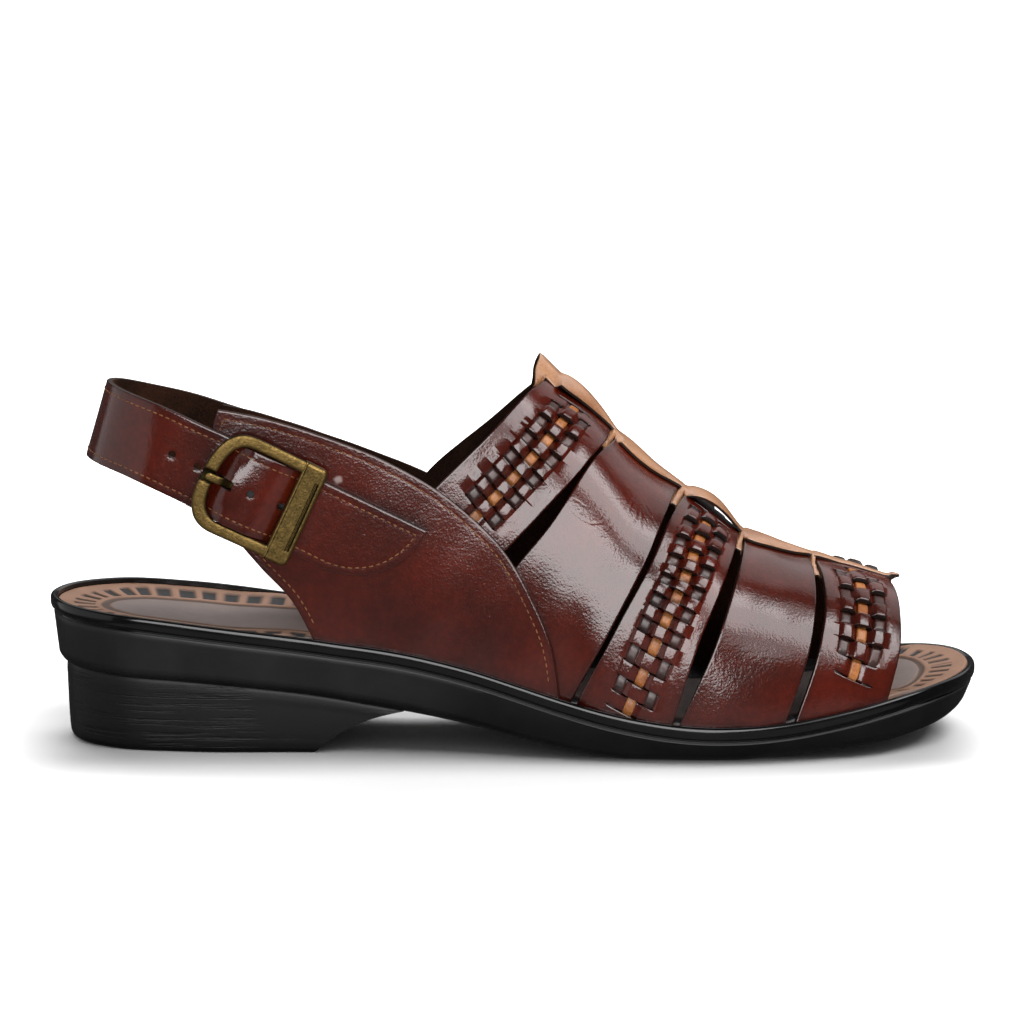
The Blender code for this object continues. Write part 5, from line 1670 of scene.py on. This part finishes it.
def make_frame():
    """Make the frame with the notch that the prong rests in."""
    outer = frame_loop(FRAME_REACH, FRAME_HALF, FRAME_CORNER, FRAME_BOW)
    inner = frame_loop(WINDOW_REACH, WINDOW_HALF, WINDOW_CORNER, WINDOW_BOW)
    rows, hollow = [], []
    for share, depth in bar_section():
        line = lerp(outer, inner, share)
        n = FRAME_BASE + FRAME_DEPTH * depth
        at_notch = np.exp(-(np.abs(line[:, 1] - PRONG_W) / 1.75)**6) * (line[:, 0] < 0.0)
        n = n - (NOTCH_DEPTH + 0.1) * at_notch * depth
        rows.append(at_buckle(line[:, 0], line[:, 1], n))
        rim = bell(np.abs(line[:, 1] - PRONG_W) - 1.7, 0.35) * (line[:, 0] < 0.0)
        low = 0.55 * (1.0 - depth)**0.7 - 0.10 * (depth > 0.9)
        hollow.append(np.maximum(low, np.maximum(0.7 * at_notch, 0.6 * rim) * (depth > 0.5)))
    rows, hollow = np.stack(rows), np.stack(hollow)
    piece = make_piece("buckle_bowed_frame", [(rows, UNCUT, 0)], [brass],
                       replaced=["buckle_frame"])
    give_mask(piece, "hollow", rows, hollow)
    return piece


def make_plate():
    """Make the wide plate: crowned edges, bare but for two engraved lines near its front."""
    u_low, u_high = WINDOW_REACH[1] - PLATE_LAP, FRAME_REACH[1] + PLATE_PROUD
    w_half, corner = FRAME_HALF + PLATE_PROUD, PLATE_CORNER
    u = np.linspace(u_low, u_high, 81)[:, None]
    w = np.linspace(-w_half, w_half, 121)[None, :]
    middle_u, middle_w = u_high - corner, w_half - corner
    past_u, past_w = np.maximum(u - middle_u, 0.0), np.maximum(np.abs(w) - middle_w, 0.0)
    past = np.hypot(past_u, past_w)
    in_corner = (past_u > 0.0) & (past_w > 0.0)
    pull = np.minimum(corner / np.maximum(past, 1e-6), 1.0)
    u_in = np.where(in_corner, middle_u + past_u * pull, u)
    w_in = np.where(in_corner, np.sign(w) * (middle_w + past_w * pull), w)
    edge = np.minimum(np.minimum(u_high - u, u - u_low), w_half - np.abs(w))
    edge = np.where(in_corner, np.maximum(corner - past, 0.0), edge)
    engraved = np.zeros_like(u * w)
    length = 1.0 - ease(np.abs(w), w_half - 5.2, w_half - 4.8)
    for inwards in ENGRAVED_IN:
        engraved = np.maximum(engraved, bell(u - (u_high - inwards), ENGRAVED_WIDTH) * length)
    seam = bell(u - u_low - 0.9, 0.22)
    top = FRAME_TOP + 0.3 - rolled(edge, 0.8, 1.0) - ENGRAVED_DEPTH * engraved - 0.12 * seam
    low = np.full_like(top, FRAME_BASE + 0.1)
    upper_face, under_face = at_buckle(u_in, w_in, top), at_buckle(u_in, w_in, low)
    piece = make_sheet("buckle_wide_plate", upper_face, under_face, edge, [brass])
    hollow = 0.10 + 0.9 * engraved + 0.35 * seam - 0.30 * bell(edge - 0.5, 0.5)
    give_mask(piece, "hollow", upper_face, hollow)
    return piece


def capped(rings):
    """Return the patches of a bar: the faces along it, and a cap at both of its ends."""
    ends = [np.stack([np.broadcast_to(rings[:-1, end].mean(axis=0), rings[:, end].shape),
                      rings[:, end]]) for end in (0, -1)]
    return [(patch, UNCUT, 0) for patch in [rings] + ends]


def tube(name, line, radius, finish, sides=20):
    """Make a round bar along a line of points in mm, with flat ends."""
    run = unit(np.gradient(line, axis=0))
    side = unit(np.cross(run, (0.0, 0.0, 1.0)))
    up = np.cross(side, run)
    angle = all_round(sides)[:, None]
    rings = np.stack([line + radius * (np.cos(a) * side + np.sin(a) * up) for a in angle])
    return make_piece(name, capped(rings), [finish])


make_frame()
make_plate()
w = np.linspace(-WINDOW_HALF - BAR_LAP, WINDOW_HALF + BAR_LAP, 41)
tube("buckle_low_bar", at_buckle(BAR_U, w, BAR_N), BAR_RADIUS, shaded_brass)
for number, w in enumerate((-WINDOW_HALF - POST_LAP, WINDOW_HALF + POST_LAP)):
    n = np.linspace(BAR_N - BAR_RADIUS - 0.2, FRAME_BASE + FRAME_DEPTH / 2.0, 5)
    post = at_buckle(BAR_U, w, n)
    post[:, 0] += np.linspace(0.0, 0.01, 5)
    tube(f"buckle_post_{number + 1}", post, POST_RADIUS, shaded_brass)

# %% [markdown]
# The prong turns on the low bar, comes up through the strap's slot, and rests its blunt tip in the
# notch of the bowed bar. A folded leather tab holds the bar to the quarter, with a gap for the
# prong's eye. Both are flat strips bent along a path.

# %% Prong and tab
PRONG_TIP_U = -18.5
TAB_LEATHER, TAB_WIDTH, TAB_REACH = 0.9, 17.0, 6.0


def smooth_path(path, count):
    """Return 'count' points evenly along a smooth curve through a path."""
    return along_curve(np.array(path, float), np.linspace(0.0, 1.0, count))


def bent_strip(name, path, depth, width, middle_w, finish, replaced=(), round_tip=0.0):
    """Make a flat strip bent along a path in u and n, with rounded edges."""
    run = unit(np.gradient(path, axis=0))
    normal = np.column_stack([-run[:, 1], run[:, 0]])
    length = travelled(path)
    left = length[-1] - length
    narrow = np.ones(len(path))
    if round_tip:
        t = np.clip(left / round_tip, 0.0, 1.0)
        narrow = np.sqrt(np.maximum(1.0 - (1.0 - t)**2, 0.02))
    angle = all_round(24) + math.pi / 4.0
    across, out = 0.5 * width * squared(np.cos(angle), 0.45), 0.5 * depth * squared(np.sin(angle), 0.6)
    rings = []
    for a, o in zip(across, out):
        line = path + normal * (o * narrow**0.5)[:, None]
        rings.append(at_buckle(line[:, 0], middle_w + a * narrow, line[:, 1]))
    return make_piece(name, capped(np.stack(rings)), [finish], replaced=replaced)


def bar_wrap(radius, start, end, steps):
    """Return points of an arc round the low bar in u and n, its angles turning from +u to +n."""
    angle = np.radians(np.linspace(start, end, steps))
    return [(BAR_U + radius * math.cos(a), BAR_N + radius * math.sin(a)) for a in angle]


radius = BAR_RADIUS + 0.1 + PRONG_DEPTH / 2.0
tip_n = FRAME_TOP - NOTCH_DEPTH + 0.9 + PRONG_DEPTH / 2.0
path = bar_wrap(radius, -180.0, 90.0, 15)
run_n = path[-1][1]
path += [(-6.0, run_n), (-9.0, run_n - 0.1), (-10.8, run_n + 0.2), (-12.6, run_n + 1.3),
         (-14.2, tip_n - 0.2), (-15.6, tip_n), (PRONG_TIP_U, tip_n)]
bent_strip("buckle_prong_bar", smooth_path(path, 120), PRONG_DEPTH, PRONG_WIDTH, PRONG_W, brass,
           replaced=["buckle_prong"], round_tip=1.1)

radius = BAR_RADIUS + 0.1 + TAB_LEATHER / 2.0
low, front = GAP + TAB_LEATHER / 2.0, BAR_U + TAB_REACH
high = low + TAB_LEATHER
path = [(front, low), (BAR_U + 2.5, low)] + bar_wrap(radius, -90.0, -270.0, 15)
path += [(BAR_U + 1.2, BAR_N + radius - 0.1), (BAR_U + 2.6, high + 1.2),
         (BAR_U + 4.2, high + 0.1), (front, high)]
half_tab = (TAB_WIDTH - PRONG_WIDTH - PRONG_PLAY) / 2.0
for name, sign in (("low", -1.0), ("high", 1.0)):
    bent_strip(f"buckle_tab_{name}", smooth_path(path, 70), TAB_LEATHER, half_tab,
               PRONG_W + sign * (PRONG_WIDTH + PRONG_PLAY + half_tab) / 2.0, calf,
               replaced=["buckle_tab"] if sign < 0.0 else ())

# %% [markdown]
# ## Stitching
#
# The machine stitch is a bonded thread of 0.5 mm in a light brown. Each stitch goes down into the
# leather at its ends and lies slightly proud in its middle. A dashed line in the material would be
# lighter to store, but it casts no shadow and has no shine of its own. So every stitch is a small
# bent tube, and all stitches of one seam are one piece.

# %% Stitches
STITCH_PITCH = 2.2
THREAD = 0.21            # radius
STITCH_GAP = 0.12        # share of the pitch that is bare at either end of a stitch
STITCH_BOW, STITCH_SUNK = 0.38, 0.36
random = np.random.default_rng(7)


def thread_finish():
    """Bonded polyester thread: twisted, so it has a fine slanted relief and a soft sheen."""
    made = Finish("bonded polyester thread", Roughness=0.6, IOR=1.5, Specular_IOR_Level=0.2)
    twist = add(made.tree, "TexWave", {"Vector": made.place, "Scale": 700.0, "Distortion": 1.0},
                bands_direction="DIAGONAL").outputs["Fac"]
    made.set(Base_Color=made.blend(made.noise(160.0), "#5e3218", "#a8713f"),
             Normal=made.bump(twist, 0.08, 0.7))
    return made.material


thread = thread_finish()


def sew(name, line, directions):
    """Sew a seam along a dense line of points on the leather, with directions out of it."""
    length = travelled(line)
    count = max(2, int(round(length[-1] / STITCH_PITCH)))
    pitch = length[-1] / count
    t = np.linspace(0.0, 1.0, 9)
    wander = random.normal(0.0, 0.035, (count, 2))
    at = (np.arange(count) * pitch)[:, None] + pitch * (STITCH_GAP + (1.0 - 2.0 * STITCH_GAP) * t)
    points, out = read_line(at, length, line, directions)
    out = unit(out)
    side = unit(np.cross(out, unit(np.gradient(points, axis=1))))
    bow = np.sin(math.pi * t)**0.55
    height = (STITCH_BOW * bow - STITCH_SUNK)[:, None]
    drift = lerp(wander[:, :1], wander[:, 1:], t)[..., None]
    middle = points + out * height + side * drift
    thick = THREAD * (0.72 + 0.28 * bow)[:, None, None]
    turn = all_round(7)[:-1, None]
    rings = middle[:, :, None] + thick * (np.cos(turn) * side[:, :, None]
                                          + np.sin(turn) * out[:, :, None])
    put_in_place(name, thread_mesh(name, rings), [thread], (), 60.0)
    return count


def thread_mesh(name, rings):
    """Write a mesh of closed tubes from rings of points: by stitch, along it, and round it."""
    at = np.arange(rings[..., 0].size).reshape(rings.shape[:3])
    after = np.roll(at, -1, axis=2)
    quads = np.stack([at[:, :-1], after[:, :-1], after[:, 1:], at[:, 1:]], axis=-1)
    caps = at[:, 0].tolist() + at[:, -1, ::-1].tolist()
    data = bpy.data.meshes.new(name)
    data.from_pydata((rings.reshape(-1, 3) * MM).tolist(), [], quads.reshape(-1, 4).tolist() + caps)
    mesh = bmesh.new()
    mesh.from_mesh(data)
    bmesh.ops.recalc_face_normals(mesh, faces=mesh.faces)
    mesh.to_mesh(data)
    mesh.free()
    return data


def quarter_seam(side):
    """Line of a quarter's seam, up the rear edge and along the top, with directions out of it."""
    rear = along_curve(QUARTER_REAR[side], np.linspace(0.93, 0.0, 200))
    top = along_curve(QUARTER_TOP[side], np.linspace(0.0, 0.965, 400))

    def moved(curve, sign):
        run = unit(np.gradient(curve, axis=0))
        return curve + sign * STITCH_INSET * np.column_stack([run[:, 1], -run[:, 0]])
    rear_in, top_in = moved(rear, 1.0), moved(top, 1.0)
    gap = np.linalg.norm(rear_in[:, None] - top_in[None], axis=-1)
    a, b = np.unravel_index(np.argmin(gap), gap.shape)
    line = np.vstack([rear_in[:a], top_in[b:]])
    share = share_at(line[:, 0], line[:, 1], side)
    low, high = (on_last(line[:, 0], share, lift) for lift in (0.0, QUARTER_FACE))
    return high, high - low


def strap_seam():
    """Line of the strap's seam, to the tip and back, with directions out of the leather."""
    start = STRAP_START_U + STITCH_INSET
    half, bend = STRAP_WIDTH / 2.0, STRAP_TIP_U - STRAP_WIDTH
    low_u = np.linspace(start, bend, 900)
    low = np.column_stack([low_u, np.full(900, STITCH_INSET - half)])
    radius = STRAP_WIDTH - STITCH_INSET
    last = math.acos(STITCH_INSET / radius)
    angle = np.linspace(0.0, last, 120)[1:]
    tip = np.column_stack([bend + radius * np.sin(angle), half - radius * np.cos(angle)])
    back_u = np.linspace(tip[-1, 0], start, 1200)[1:]
    top = np.column_stack([back_u, np.full(len(back_u), half - STITCH_INSET)])
    end_w = np.linspace(half - STITCH_INSET, STITCH_INSET - half, 40)[1:]
    end = np.column_stack([np.full(len(end_w), start), end_w])
    line = np.vstack([low, tip, top, end])
    base, skin = (strap_point(line[:, 0], line[:, 1], lift) for lift in (0.0, STRAP_LEATHER))
    return skin, skin - base


seams = {"quarter_stitches_outer": quarter_seam(OUTER),
         "quarter_stitches_inner": quarter_seam(INNER), "strap_stitches": strap_seam()}
stitches = sum(sew(name, *seam) for name, seam in seams.items())
print("stitches:", stitches)
